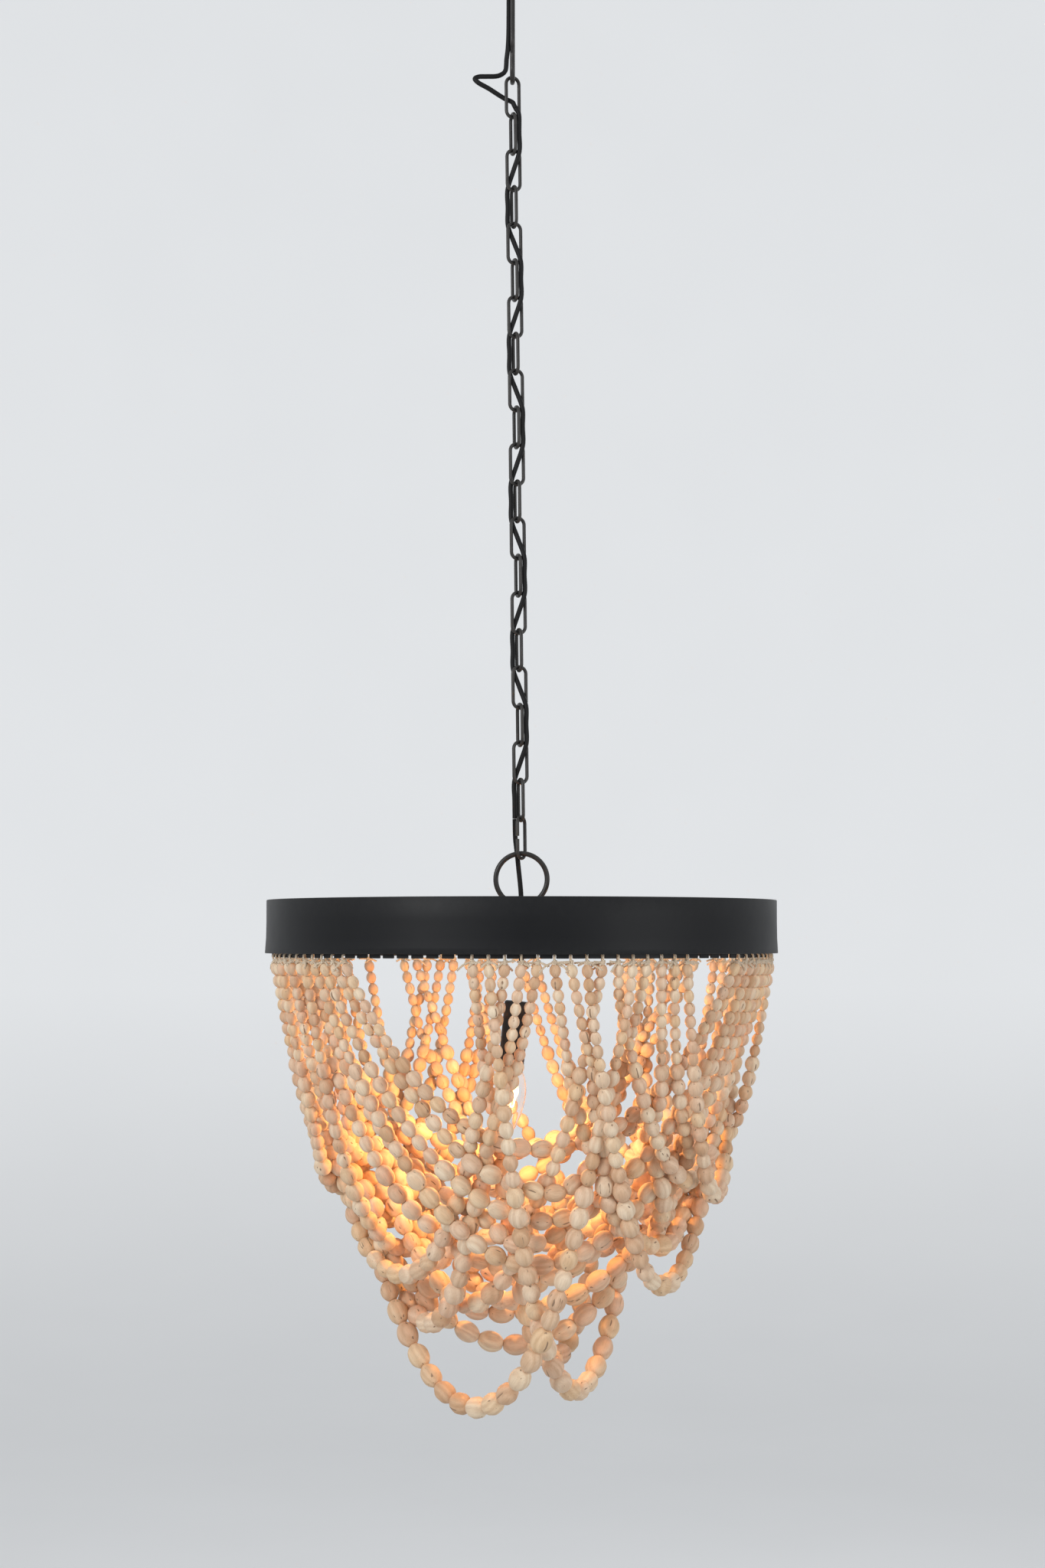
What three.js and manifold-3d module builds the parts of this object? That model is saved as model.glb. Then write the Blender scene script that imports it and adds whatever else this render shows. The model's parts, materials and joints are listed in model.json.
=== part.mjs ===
// Beaded chandelier: a black hoop on a chain, with swags of graded wooden beads and one clear lamp.
// Millimetres, +Z up. The origin is the middle of the ceiling plate's top face, so the whole part
// hangs at negative z. +X is to the viewer's right and -Y towards the viewer.
import * as THREE from 'three';
import { mergeVertices } from 'three/addons/utils/BufferGeometryUtils.js';
import Module from 'manifold-3d';

const wasm = await Module();
wasm.setup();

// Clearances
const touchGap = 0.3;
const cutOverrun = 2;

// Facets
const drillSides = 8;
const nutSides = 6;
const canopySides = 16;
const holderSides = 12;
const hoopSides = 48;
const beadSides = 4;

// Ceiling plate and canopy
const plateRadius = 46;
const plateThickness = 3;
const plateRimDepth = 14;
const plateRimWall = 2;
const fixingHoleRadius = 2.6;
const fixingHoleSpacing = 56;
const canopyWall = 1.2;
const canopySkirt = 16;
const canopyDepth = 32;
const canopyMouthRadius = 9;
const bushFlange = 2;
const bushLength = 5;

// Hook
const hookWire = 5;
const hookDrop = 129;
const hookBowlRadius = 11.5;
const hookNeckHeight = 44;
const hookTipHeight = 25;
const hookShankEnd = 4;
const hookBendShares = [[0.3, 1], [0.9, 3]];
const hookNutAcross = 10;
const hookNutHeight = 5;

// Chain
const linkCount = 21;
const linkWire = 3.5;
const linkWidth = 17;
const linkPitch = 37;
const chainTurn = THREE.MathUtils.degToRad(20);
const lastLinkTurn = THREE.MathUtils.degToRad(58);
const lastLinkCut = 3;
const cordEntryShare = 0.135;
const cordMeetingShare = 0.5;
const chainLean = 9;

// Hanging ring, and the eye that hangs the hoop on it
const ringWire = 5;
const ringOuterWidth = 55.4;
const ringSinkIntoBand = 4.4;
const eyeWire = 4;
const eyeSideGap = 1;

// Hoop, its spokes and the bead rail
const bandWidth = 500;
const bandHeight = 51.5;
const bandWall = 2;
const bandFlare = 0.8;
const bandFlareShare = 0.3;
const hubRadius = 24;
const hubThickness = 4;
const hubHeight = 22;
const spokeCount = 3;
const spokeWidth = 10;
const spokeThickness = 3;
const spokeInnerRadius = 17;
const spokeTabHeight = 18;
const spokeTurnShare = 0.25;
const railInset = 7.5;
const railWall = 1.6;
const railHeight = 14;
const railDrop = 3.8;
const railHoles = 104;
const railSlotDepth = 5;

// Supply cord
const cordWidth = 4.8;
const cordHoleOffset = 12.8;
const cordStartReach = 14;
const slackReach = 37.6;
const shankSideShare = 0.682;
const meetingUnderGrip = 0.5;
const canopyRouteShares = [[0.993, 0.25], [0.893, 0.375], [0.5, 0.656]];
const slackRouteShares = [[-0.16, 0.173, 0.806], [-0.2, 0.239, 0.891], [-0.372, 0.239, 0.926],
  [-0.665, 0.16, 0.94], [-0.904, 0.053, 0.953], [-1, -0.027, 0.977], [-0.918, -0.053, 1.008],
  [-0.638, 0, 1.05], [-0.346, 0.093, 1.097], [-0.186, 0.106, 1.124]];
const ringRouteShares = [[-0.47, 0.547, 1.093], [-0.352, 0.742, 0.966], [-0.234, 0.898, 0.82],
  [-0.0625, 0.984, 0.605], [0, 1, 0.429]];
const lampRouteShares = [[0, 0.984, 0], [-0.047, 0.891, 0.255], [-0.125, 0.672, 0.51]];
const holderEntryShares = [0.96, 0.4, 0, -0.48];
const gripWall = 1.8;
const gripFlange = 2.2;
const gripLength = 9;

// Lamp holder, socket and lamp
const holderRadius = 12.5;
const holderWall = 1.5;
const holderLength = 62;
const holderDrop = 47;
const holderOffset = -3.9;
const holderForward = 5;
const lampTilt = THREE.MathUtils.degToRad(5.8);
const socketWall = 2.4;
const socketDepth = 26;
const socketInset = 3;
const capRadius = 6.9;
const capLength = 20;
const capWall = 0.6;
const contactRadius = 2.6;
const contactHeight = 1.6;
const contactFlareShare = 1.5;
const capTopShare = 0.55;
const capShoulderShare = 0.5;
const glassLength = 80;
const glassRadius = 17.5;
const glassNeckRadius = 5.6;
const glassWall = 0.9;
const glassSeatShare = 0.4;
const stemRadius = 3.2;
const stemLength = 19;
const stemTipShare = 0.6;
const stemBulgeShare = 0.5;
const filamentWire = 1.2;
const filamentDrop = 34;
const filamentSpread = 7;

// Beads: width and length of each size, and how many of it lie at each end of a strand
const restOfStrand = 99;
const beadSizes = [
  { width: 9.5, length: 12.3, atEachEnd: 8 },
  { width: 13, length: 16, atEachEnd: 7 },
  { width: 16.5, length: 20.5, atEachEnd: 7 },
  { width: 19, length: 25.5, atEachEnd: restOfStrand },
];
const beadNeckShare = 0.45;
const beadFacetShare = 1.12;
const twineWidth = 2.2;
const knotDrop = 5;
const strandClearance = 0.5;
const settleRounds = 260;
const settleFall = 0.06;
const fallingShare = 0.8;
const lengthPasses = 6;

// Swags: the two rail holes that each strand is tied to, counted anticlockwise from +X as seen
// from above, and how far its middle hangs under the hoop, as a share of the hoop's width
const swags = [
  { name: 'strand_front_upper', from: 66, to: 94, sagShare: 0.384 },
  { name: 'strand_front_middle', from: 64, to: 96, sagShare: 0.494 },
  { name: 'strand_front_lower', from: 63, to: 98, sagShare: 0.584 },
  { name: 'strand_left_upper', from: 32, to: 60, sagShare: 0.432 },
  { name: 'strand_left_lower', from: 29, to: 62, sagShare: 0.608 },
  { name: 'strand_right_upper', from: 84, to: 110, sagShare: 0.422 },
  { name: 'strand_right_lower', from: 82, to: 112, sagShare: 0.644 },
  { name: 'strand_back_upper', from: 100, to: 134, sagShare: 0.524 },
  { name: 'strand_low_left_inner', from: 40, to: 83, sagShare: 0.668 },
  { name: 'strand_low_left_outer', from: 42, to: 85, sagShare: 0.876 },
  { name: 'strand_low_right_outer', from: 76, to: 120, sagShare: 0.856 },
  { name: 'strand_low_back', from: 5, to: 49, sagShare: 0.808 },
];

// Heights that follow from the sizes above
const linkSpine = linkPitch + linkWire + touchGap;
const chainLength = (hookWire + linkWire) / 2 + touchGap - (linkCount - 1) * linkPitch - linkSpine;
const ringTop = chainLength + (ringWire + linkWire) / 2 + 2 * touchGap;
const ringSpine = (ringOuterWidth - ringWire) / 2;
const railRadius = bandWidth / 2 - railInset;
const ringCentreDrop = hookDrop - ringTop + ringSpine;
const bandBottomDrop = ringCentreDrop + ringSpine - ringSinkIntoBand + bandHeight;
const ringBottom = bandHeight - ringSinkIntoBand;
const cordMeeting = hubHeight - touchGap - gripFlange - gripLength - meetingUnderGrip;

const materials = {
  blackMetal: new THREE.MeshStandardMaterial({ color: 0x17181a, roughness: 0.55, metalness: 0.6 }),
  chainMetal: new THREE.MeshStandardMaterial({ color: 0x101113, roughness: 0.45, metalness: 0.7 }),
  wood: new THREE.MeshStandardMaterial({ color: 0xdec4a6, roughness: 0.62, metalness: 0 }),
  cord: new THREE.MeshStandardMaterial({ color: 0x0e0f11, roughness: 0.6, metalness: 0 }),
  plastic: new THREE.MeshStandardMaterial({ color: 0x141416, roughness: 0.5, metalness: 0 }),
  socket: new THREE.MeshStandardMaterial({ color: 0xe8e4da, roughness: 0.4, metalness: 0 }),
  brass: new THREE.MeshStandardMaterial({ color: 0xb8924a, roughness: 0.35, metalness: 0.9 }),
  glass: new THREE.MeshStandardMaterial({
    color: 0xffffff, roughness: 0.03, metalness: 0, transparent: true, opacity: 0.35,
  }),
  filament: new THREE.MeshStandardMaterial({
    color: 0xffc27a, roughness: 0.5, metalness: 0, emissive: 0xffa040,
  }),
};

function piece(name, geometry, material) {
  const mesh = new THREE.Mesh(geometry, material);
  mesh.name = name;
  return mesh;
}

// A closed surface from a row of equal rings. Open rows get a flat cap at each end.
function loft(rings, isLoop = false) {
  const sides = rings[0].length;
  const position = rings.flat().flatMap((point) => point.toArray());
  const index = [];
  const spans = isLoop ? rings.length : rings.length - 1;
  for (let ring = 0; ring < spans; ring++) {
    const near = ring * sides;
    const far = ((ring + 1) % rings.length) * sides;
    for (let side = 0; side < sides; side++) {
      const next = (side + 1) % sides;
      index.push(near + side, near + next, far + next, near + side, far + next, far + side);
    }
  }
  if (!isLoop) {
    const last = (rings.length - 1) * sides;
    for (let side = 1; side < sides - 1; side++) {
      index.push(0, side + 1, side, last, last + side, last + side + 1);
    }
  }
  const geometry = new THREE.BufferGeometry();
  geometry.setAttribute('position', new THREE.Float32BufferAttribute(position, 3));
  geometry.setIndex(index);
  return geometry;
}

// Rings of the given radii along a line of points, each square to the line's direction there.
// The first ring's corner points as near to the start direction as it can.
function sweep(points, radii, sides, { isLoop = false, start = new THREE.Vector3(0, 1, 0) } = {}) {
  const count = points.length;
  const across = start.clone();
  const rings = points.map((point, i) => {
    const before = points[isLoop ? (i + count - 1) % count : Math.max(i - 1, 0)];
    const after = points[isLoop ? (i + 1) % count : Math.min(i + 1, count - 1)];
    const along = after.clone().sub(before).normalize();
    across.addScaledVector(along, -across.dot(along)).normalize();
    const up = along.clone().cross(across);
    return Array.from({ length: sides }, (_, side) => {
      const angle = (2 * Math.PI * side) / sides;
      return point.clone()
        .addScaledVector(across, radii[i] * Math.cos(angle))
        .addScaledVector(up, radii[i] * Math.sin(angle));
    });
  });
  return loft(rings, isLoop);
}

function wire(points, width, sides, options) {
  return sweep(points, points.map(() => width / 2), sides, options);
}

// Points of an arc in the plane of two directions
function arc(centre, radius, from, to, steps, right, up) {
  return Array.from({ length: steps + 1 }, (_, i) => {
    const angle = from + ((to - from) * i) / steps;
    return centre.clone()
      .addScaledVector(right, radius * Math.cos(angle))
      .addScaledVector(up, radius * Math.sin(angle));
  });
}

// A turned piece from [radius, height] pairs, listed so that the wall lies on their left
function turned(profile, segments) {
  const points = profile.map(([radius, height]) => new THREE.Vector2(radius, height));
  const onAxis = profile[0][0] === 0 && profile.at(-1)[0] === 0;
  if (!onAxis) points.push(points[0].clone());
  const geometry = new THREE.LatheGeometry(points, segments);
  geometry.rotateX(Math.PI / 2);
  return geometry;
}

function toSolid(geometry) {
  const bare = geometry.clone();
  bare.deleteAttribute('normal');
  bare.deleteAttribute('uv');
  const merged = mergeVertices(bare, 1e-4);
  return new wasm.Manifold(new wasm.Mesh({
    numProp: 3,
    vertProperties: new Float32Array(merged.attributes.position.array),
    triVerts: new Uint32Array(merged.index.array),
  }));
}

function fromSolid(solid) {
  const mesh = solid.getMesh();
  const geometry = new THREE.BufferGeometry();
  geometry.setAttribute('position', new THREE.BufferAttribute(mesh.vertProperties, 3));
  geometry.setIndex(new THREE.BufferAttribute(mesh.triVerts, 1));
  return geometry;
}

function cut(geometry, ...tools) {
  return fromSolid(tools.reduce((solid, tool) => solid.subtract(toSolid(tool)), toSolid(geometry)));
}

// A tool whose flats, not its corners, lie at the given radius
function drill(radius, length, x, y, z) {
  const corner = radius / Math.cos(Math.PI / drillSides);
  const tool = new THREE.CylinderGeometry(corner, corner, length, drillSides);
  tool.rotateX(Math.PI / 2);
  tool.translate(x, y, z);
  return tool;
}

const hoopPlace = () => new THREE.Vector3(chainLean, 0, -bandBottomDrop);
const lampPlace = () => new THREE.Vector3(holderOffset, holderForward, -holderDrop);
const chainTilt = -Math.asin(chainLean / Math.abs(chainLength));
const fromChain = (point) => point.clone().applyAxisAngle(yAxis, chainTilt)
  .add(new THREE.Vector3(0, 0, -hookDrop));

const xAxis = new THREE.Vector3(1, 0, 0);
const yAxis = new THREE.Vector3(0, 1, 0);
const zAxis = new THREE.Vector3(0, 0, 1);

// Ceiling fitting

function ceilingPlate() {
  const bowl = plateRadius - plateRimWall;
  const plate = turned([
    [0, -plateThickness],
    [bowl, -plateThickness],
    [bowl, -plateRimDepth],
    [plateRadius, -plateRimDepth],
    [plateRadius, 0],
    [0, 0],
  ], canopySides);
  const holes = [-1, 1].map((side) => drill(
    fixingHoleRadius, plateThickness + 2 * cutOverrun,
    0, (side * fixingHoleSpacing) / 2, -plateThickness / 2,
  ));
  return piece('ceiling_plate', cut(plate, ...holes), materials.blackMetal);
}

const canopyRadius = plateRadius + touchGap + canopyWall;

function canopy() {
  const inner = canopyRadius - canopyWall;
  const shoulder = canopyDepth - canopySkirt;
  const domeShares = [[0.88, 0.5], [0.56, 0.86]];
  const dome = (radius, wall) => domeShares.map(([across, down]) => [
    radius * across, -canopySkirt - (shoulder - wall) * down,
  ]);
  const shell = turned([
    [inner, -touchGap],
    [inner, -canopySkirt],
    ...dome(inner, canopyWall),
    [canopyMouthRadius, -canopyDepth + canopyWall],
    [canopyMouthRadius, -canopyDepth],
    ...dome(canopyRadius, 0).reverse(),
    [canopyRadius, -canopySkirt],
    [canopyRadius, -touchGap],
  ], canopySides);
  return piece('canopy', shell, materials.blackMetal);
}

const cordBesideShank = (hookWire + cordWidth) / 2 + touchGap;

function canopyBush() {
  const neck = canopyMouthRadius - touchGap;
  const flange = canopyMouthRadius + bushFlange;
  const under = -canopyDepth - touchGap;
  const bush = turned([
    [0, under - bushFlange],
    [flange, under - bushFlange],
    [flange, under],
    [neck, under],
    [neck, under + bushLength],
    [0, under + bushLength],
  ], 10);
  const shankHole = drill(hookWire / 2 + touchGap, canopyDepth, 0, 0, under);
  const cordHole = drill(cordWidth / 2 + touchGap, canopyDepth, ...bushCordPlace(), under);
  return piece('canopy_bush', cut(bush, shankHole, cordHole), materials.plastic);
}

function bushCordPlace() {
  return [-cordBesideShank * Math.SQRT1_2, cordBesideShank * Math.SQRT1_2];
}

function hook() {
  const bowl = new THREE.Vector3(0, 0, -hookDrop + hookBowlRadius);
  const top = -plateThickness - touchGap - hookShankEnd / 2;
  const neck = -hookDrop + hookNeckHeight;
  const neckDrop = (hookNeckHeight - hookBowlRadius) / 4;
  const points = [
    new THREE.Vector3(0, 0, top),
    new THREE.Vector3(0, 0, neck),
    ...hookBendShares.map(([across, quarters]) => (
      new THREE.Vector3(0, hookBowlRadius * across, neck - quarters * neckDrop))),
    ...arc(bowl, hookBowlRadius, 0, -Math.PI, 9, yAxis, zAxis),
    new THREE.Vector3(0, -hookBowlRadius, -hookDrop + hookTipHeight),
  ];
  return piece('hook', wire(points, hookWire, 7, { start: xAxis }), materials.blackMetal);
}

function hookNut() {
  const hole = (hookWire / 2 + touchGap) / Math.cos(Math.PI / nutSides);
  const high = -plateThickness - touchGap;
  const nut = turned([
    [hole, high - hookNutHeight],
    [hookNutAcross / 2, high - hookNutHeight],
    [hookNutAcross / 2, high],
    [hole, high],
  ], nutSides);
  return piece('hook_nut', nut, materials.blackMetal);
}

// Chain: links stand at right angles to each other, and the last one is left open

function linkPath(gap) {
  const bend = (linkWidth - linkWire) / 2;
  const straight = linkSpine / 2 - bend;
  const lower = arc(new THREE.Vector3(0, 0, -straight), bend, 0, -Math.PI, 4, xAxis, zAxis);
  const upper = arc(new THREE.Vector3(0, 0, straight), bend, Math.PI, 0, 4, xAxis, zAxis);
  if (!gap) return [...lower, ...upper];
  const cutHigh = new THREE.Vector3(-bend, 0, gap / 2);
  const cutLow = new THREE.Vector3(-bend, 0, -gap / 2);
  return [cutHigh, ...upper, ...lower, cutLow];
}

function linkHeight(i) {
  return (hookWire + linkWire) / 2 + touchGap - linkSpine / 2 - i * linkPitch;
}

function linkTurn(i) {
  if (i === linkCount - 1) return lastLinkTurn;
  return chainTurn + (i % 2) * Math.PI / 2;
}

function chainLinks() {
  return Array.from({ length: linkCount }, (_, i) => {
    const isLast = i === linkCount - 1;
    const geometry = wire(linkPath(isLast ? lastLinkCut : 0), linkWire, 4, { isLoop: !isLast });
    const number = String(i + 1).padStart(2, '0');
    const link = piece(`chain_link_${number}`, geometry, materials.chainMetal);
    link.position.z = linkHeight(i);
    link.rotation.z = linkTurn(i);
    return link;
  });
}

// Supply cord

function inChain(along, across, height) {
  return new THREE.Vector3(along, across, height).applyAxisAngle(zAxis, chainTurn);
}

// Where the cord lies beside the joint under a link, on one side of the chain and then the other
function besideJoint(link) {
  const beside = (linkWire + cordWidth) / 2 + 2 * touchGap;
  const side = Math.floor(link / 2) % 2 ? -1 : 1;
  return inChain(side * beside, -side * beside, linkHeight(link) - linkPitch / 2);
}

// On the straight run through the first link, where the ceiling's cord piece meets the chain's
function chainEntry(share) {
  return inChain(0, 0, linkHeight(0) - linkPitch * cordEntryShare).lerp(besideJoint(0), share);
}

// Down through the chain: past one link and through the middle of the next
function chainWeave() {
  const points = [chainEntry(cordMeetingShare), besideJoint(0)];
  for (let link = 1; link < linkCount - 1; link++) {
    const passes = link % 2 === 1;
    const height = linkHeight(link);
    points.push(passes ? besideJoint(link - 1).setZ(height) : inChain(0, 0, height));
    points.push(besideJoint(link));
  }
  points.at(-1).z += touchGap;
  return points;
}

// From the ceiling through the canopy, beside the shank, out in a slack loop to the left of the
// hook, and back through the first link
function cordFromCeiling() {
  const [bushX, bushY] = bushCordPlace();
  const place = (x, y, z) => new THREE.Vector3(x, y, z);
  const above = canopyRouteShares.map(([out, down]) => (
    place(-cordStartReach * out, cordStartReach * out, -canopyDepth * down)));
  const bushShares = [0.844, 1.25];
  const slack = slackRouteShares.map(([across, back, down]) => (
    place(slackReach * across, slackReach * back, -hookDrop * down)));
  const loose = [
    place(-cordStartReach, cordStartReach, -plateThickness - 2 * touchGap), ...above,
    ...bushShares.map((down) => place(bushX, bushY, -canopyDepth * down)),
    place(bushX - 2 * touchGap, bushY, -hookDrop * shankSideShare), ...slack,
  ];
  const below = [0, 0.4, 0.92].map((share) => fromChain(chainEntry(share * cordMeetingShare)));
  return smoothed([...loose, ...below], 46);
}

// Out of the chain, down behind the ring and through the grip in the hub
function cordToHoop() {
  const start = fromChain(besideJoint(linkCount - 2)).sub(hoopPlace());
  const ringHigh = ringBottom + ringOuterWidth;
  const points = ringRouteShares.map(([across, back, up]) => (
    new THREE.Vector3(cordHoleOffset * across, cordHoleOffset * back, ringHigh * up)));
  points.push(new THREE.Vector3(0, cordHoleOffset, cordMeeting));
  start.lerp(points[0], touchGap / start.distanceTo(points[0]));
  return smoothed([start, ...points], 20);
}

// From the hub's grip into the top of the lamp holder
function cordToLamp() {
  const inLamp = (height) => new THREE.Vector3(0, 0, height)
    .applyAxisAngle(yAxis, lampTilt).add(lampPlace());
  const hanging = lampRouteShares.map(([across, back, down]) => (
    new THREE.Vector3(cordHoleOffset * across, cordHoleOffset * back, -holderDrop * down)));
  return smoothed([
    new THREE.Vector3(0, cordHoleOffset, cordMeeting - touchGap), ...hanging,
    ...holderEntryShares.map((share) => inLamp(holderRadius * share)),
  ], 16);
}

function cordPiece(name, points) {
  return piece(name, wire(points, cordWidth, 5, { start: xAxis }), materials.cord);
}

function smoothed(points, steps) {
  return new THREE.CatmullRomCurve3(points, false, 'centripetal').getPoints(steps);
}

const settled = settleSwags();

// A bead strand hangs between two rail holes as one string: the twine in its slots, and the beads
function strand(swag, junctions, beads) {
  const stemRadius = twineWidth / 2;
  const points = [];
  const radii = [];
  const add = (point, radius) => {
    points.push(point);
    radii.push(radius);
  };
  const stem = (end) => [
    [end.clone().setZ(-railDrop + railSlotDepth - touchGap), stemRadius],
    [end.clone().setZ(-railDrop - touchGap), stemRadius],
  ];
  const ends = [junctions[0], junctions.at(-1)];
  stem(ends[0]).forEach(([point, radius]) => add(point, radius));
  beads.forEach((bead, i) => {
    const radius = (bead.width / 2) * beadFacetShare;
    const neck = Math.min(bead.width, (beads[i - 1] ?? bead).width) / 2 * beadNeckShare;
    add(junctions[i], neck);
    add(junctions[i].clone().lerp(junctions[i + 1], 0.5), radius);
  });
  add(ends[1], (beads.at(-1).width / 2) * beadNeckShare);
  stem(ends[1]).reverse().forEach(([point, radius]) => add(point, radius));
  return piece(swag.name, sweep(points, radii, beadSides), materials.wood);
}

function railPlace(hole, height) {
  const angle = (2 * Math.PI * hole) / railHoles;
  return new THREE.Vector3(railRadius * Math.cos(angle), railRadius * Math.sin(angle), height);
}

// Beads of one strand, small at both ends, until they fill its length
function gradedBeads(length) {
  const half = beadSizes.flatMap((size) => Array(size.atEachEnd).fill(size));
  const beads = [];
  let left = length;
  while (left > 2 * half[beads.length].length) {
    left -= 2 * half[beads.length].length;
    beads.push(half[beads.length]);
  }
  const middle = left > half[beads.length].length / 2 ? [half[beads.length]] : [];
  return [...beads, ...middle, ...beads.toReversed()];
}

// A hanging line between the two ends, cut into beads from end to end
function hangingLine(swag) {
  const start = railPlace(swag.from, -railDrop - knotDrop);
  const end = railPlace(swag.to, -railDrop - knotDrop);
  const steps = 400;
  const dip = swag.sagShare * bandWidth - railDrop - knotDrop;
  const points = Array.from({ length: steps + 1 }, (_, i) => {
    const share = i / steps;
    const point = start.clone().lerp(end, share);
    point.z -= dip * 4 * share * (1 - share);
    return point;
  });
  const reach = [0];
  for (let i = 1; i <= steps; i++) reach.push(reach[i - 1] + points[i].distanceTo(points[i - 1]));
  const beads = gradedBeads(reach.at(-1));
  const total = beads.reduce((sum, bead) => sum + bead.length, 0);
  const junctions = [start];
  let along = 0;
  let at = 0;
  beads.slice(0, -1).forEach((bead) => {
    along += (bead.length * reach.at(-1)) / total;
    while (reach[at + 1] < along) at += 1;
    junctions.push(points[at].clone().lerp(
      points[at + 1], (along - reach[at]) / (reach[at + 1] - reach[at]),
    ));
  });
  junctions.push(end);
  return { swag, beads, junctions };
}

// Lets all strands hang under their weight, keeping each bead's length, and pushes crossing
// strands apart until each lies beside or over the other
function settleSwags() {
  const strands = swags.map(hangingLine);
  const probes = strands.flatMap(({ beads }, strandIndex) => beads.flatMap((bead, i) => {
    const radius = (bead.width / 2) * beadFacetShare;
    const shares = [[0, beadNeckShare * 1.1], [0.25, 0.78], [0.5, 1], [0.75, 0.78]];
    return shares.map(([along, share]) => ({
      strandIndex, i, along, radius: radius * share, place: new THREE.Vector3(),
    }));
  }));
  const cell = Math.max(...beadSizes.map((size) => size.width)) * beadFacetShare + strandClearance;
  const apart = new THREE.Vector3();
  for (let round = 0; round < settleRounds; round++) {
    strands.forEach(({ junctions }) => junctions.slice(1, -1).forEach((point) => {
      point.z -= round < settleRounds * fallingShare ? settleFall : 0;
    }));
    pushApart(probes, strands, cell, apart);
    for (let pass = 0; pass < lengthPasses; pass++) strands.forEach(keepLengths);
  }
  return strands;
}

function keepLengths({ junctions, beads }) {
  const step = new THREE.Vector3();
  const last = beads.length - 1;
  beads.forEach((bead, i) => {
    step.copy(junctions[i + 1]).sub(junctions[i]);
    const excess = 1 - bead.length / step.length();
    const nearMoves = i > 0;
    const farMoves = i < last;
    const share = nearMoves && farMoves ? 0.5 : 1;
    if (nearMoves) junctions[i].addScaledVector(step, excess * share);
    if (farMoves) junctions[i + 1].addScaledVector(step, -excess * share);
  });
}

function pushApart(probes, strands, cell, apart) {
  const grid = new Map();
  const span = 512;
  const keyOf = (x, y, z) => (x * span + y) * span + z;
  probes.forEach((probe) => {
    const { junctions } = strands[probe.strandIndex];
    probe.place.copy(junctions[probe.i]).lerp(junctions[probe.i + 1], probe.along);
    probe.cellPlace = probe.place.toArray().map((value) => Math.floor(value / cell) + span / 4);
    const key = keyOf(...probe.cellPlace);
    if (!grid.has(key)) grid.set(key, []);
    grid.get(key).push(probe);
  });
  const move = (probe, amount) => {
    const { junctions, beads } = strands[probe.strandIndex];
    if (probe.i > 0) junctions[probe.i].addScaledVector(apart, amount * (1 - probe.along));
    if (probe.i + 1 < beads.length) junctions[probe.i + 1].addScaledVector(apart, amount * probe.along);
  };
  const steps = [-1, 0, 1];
  probes.forEach((probe) => {
    const [x, y, z] = probe.cellPlace;
    steps.forEach((dx) => steps.forEach((dy) => steps.forEach((dz) => {
      (grid.get(keyOf(x + dx, y + dy, z + dz)) ?? []).forEach((other) => {
        if (other.strandIndex <= probe.strandIndex) return;
        apart.copy(probe.place).sub(other.place);
        const least = probe.radius + other.radius + strandClearance;
        const distance = apart.length();
        if (distance >= least) return;
        apart.divideScalar(distance || 1);
        move(probe, (least - distance) / 2);
        move(other, -(least - distance) / 2);
      });
    })));
  });
}

// Hoop: band, rail, hub, spokes, eye and ring. Heights here are from the band's lower edge.

const bandRadius = bandWidth / 2;
const bandBore = bandRadius - bandFlare - bandWall;

function band() {
  const topRadius = bandRadius - bandFlare;
  return piece('band', turned([
    [bandBore, 0],
    [bandRadius, 0],
    [topRadius, bandHeight * bandFlareShare],
    [topRadius, bandHeight],
    [bandBore, bandHeight],
  ], hoopSides), materials.blackMetal);
}

// An angle ring: its upright edge shows under the band, and its flange meets the band inside
function beadRail() {
  const inner = railRadius - railWall / 2;
  const outer = railRadius + railWall / 2;
  const high = railHeight - railDrop;
  const rail = turned([
    [inner, -railDrop],
    [outer, -railDrop],
    [outer, high - railWall],
    [bandBore - touchGap, high - railWall],
    [bandBore - touchGap, high],
    [inner, high],
  ], hoopSides);
  const slotWidth = twineWidth + 2 * touchGap;
  const slotDepth = railSlotDepth + cutOverrun;
  const slots = swags.flatMap(({ from, to }) => [from, to]).map((hole) => {
    const slot = new THREE.BoxGeometry(railWall + 2 * cutOverrun, slotWidth, slotDepth);
    slot.rotateZ((2 * Math.PI * hole) / railHoles);
    const place = railPlace(hole, railSlotDepth - railDrop - slotDepth / 2);
    slot.translate(place.x, place.y, place.z);
    return slot;
  });
  return piece('bead_rail', cut(rail, ...slots), materials.blackMetal);
}

const hubTop = hubHeight + hubThickness;

function hub() {
  const plate = turned([[0, hubHeight], [hubRadius, hubHeight], [hubRadius, hubTop], [0, hubTop]], 16);
  const hole = drill(
    gripOuter + touchGap, hubThickness + 2 * cutOverrun, 0, cordHoleOffset, hubHeight + hubThickness / 2,
  );
  return piece('hub_plate', cut(plate, hole), materials.blackMetal);
}

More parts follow.
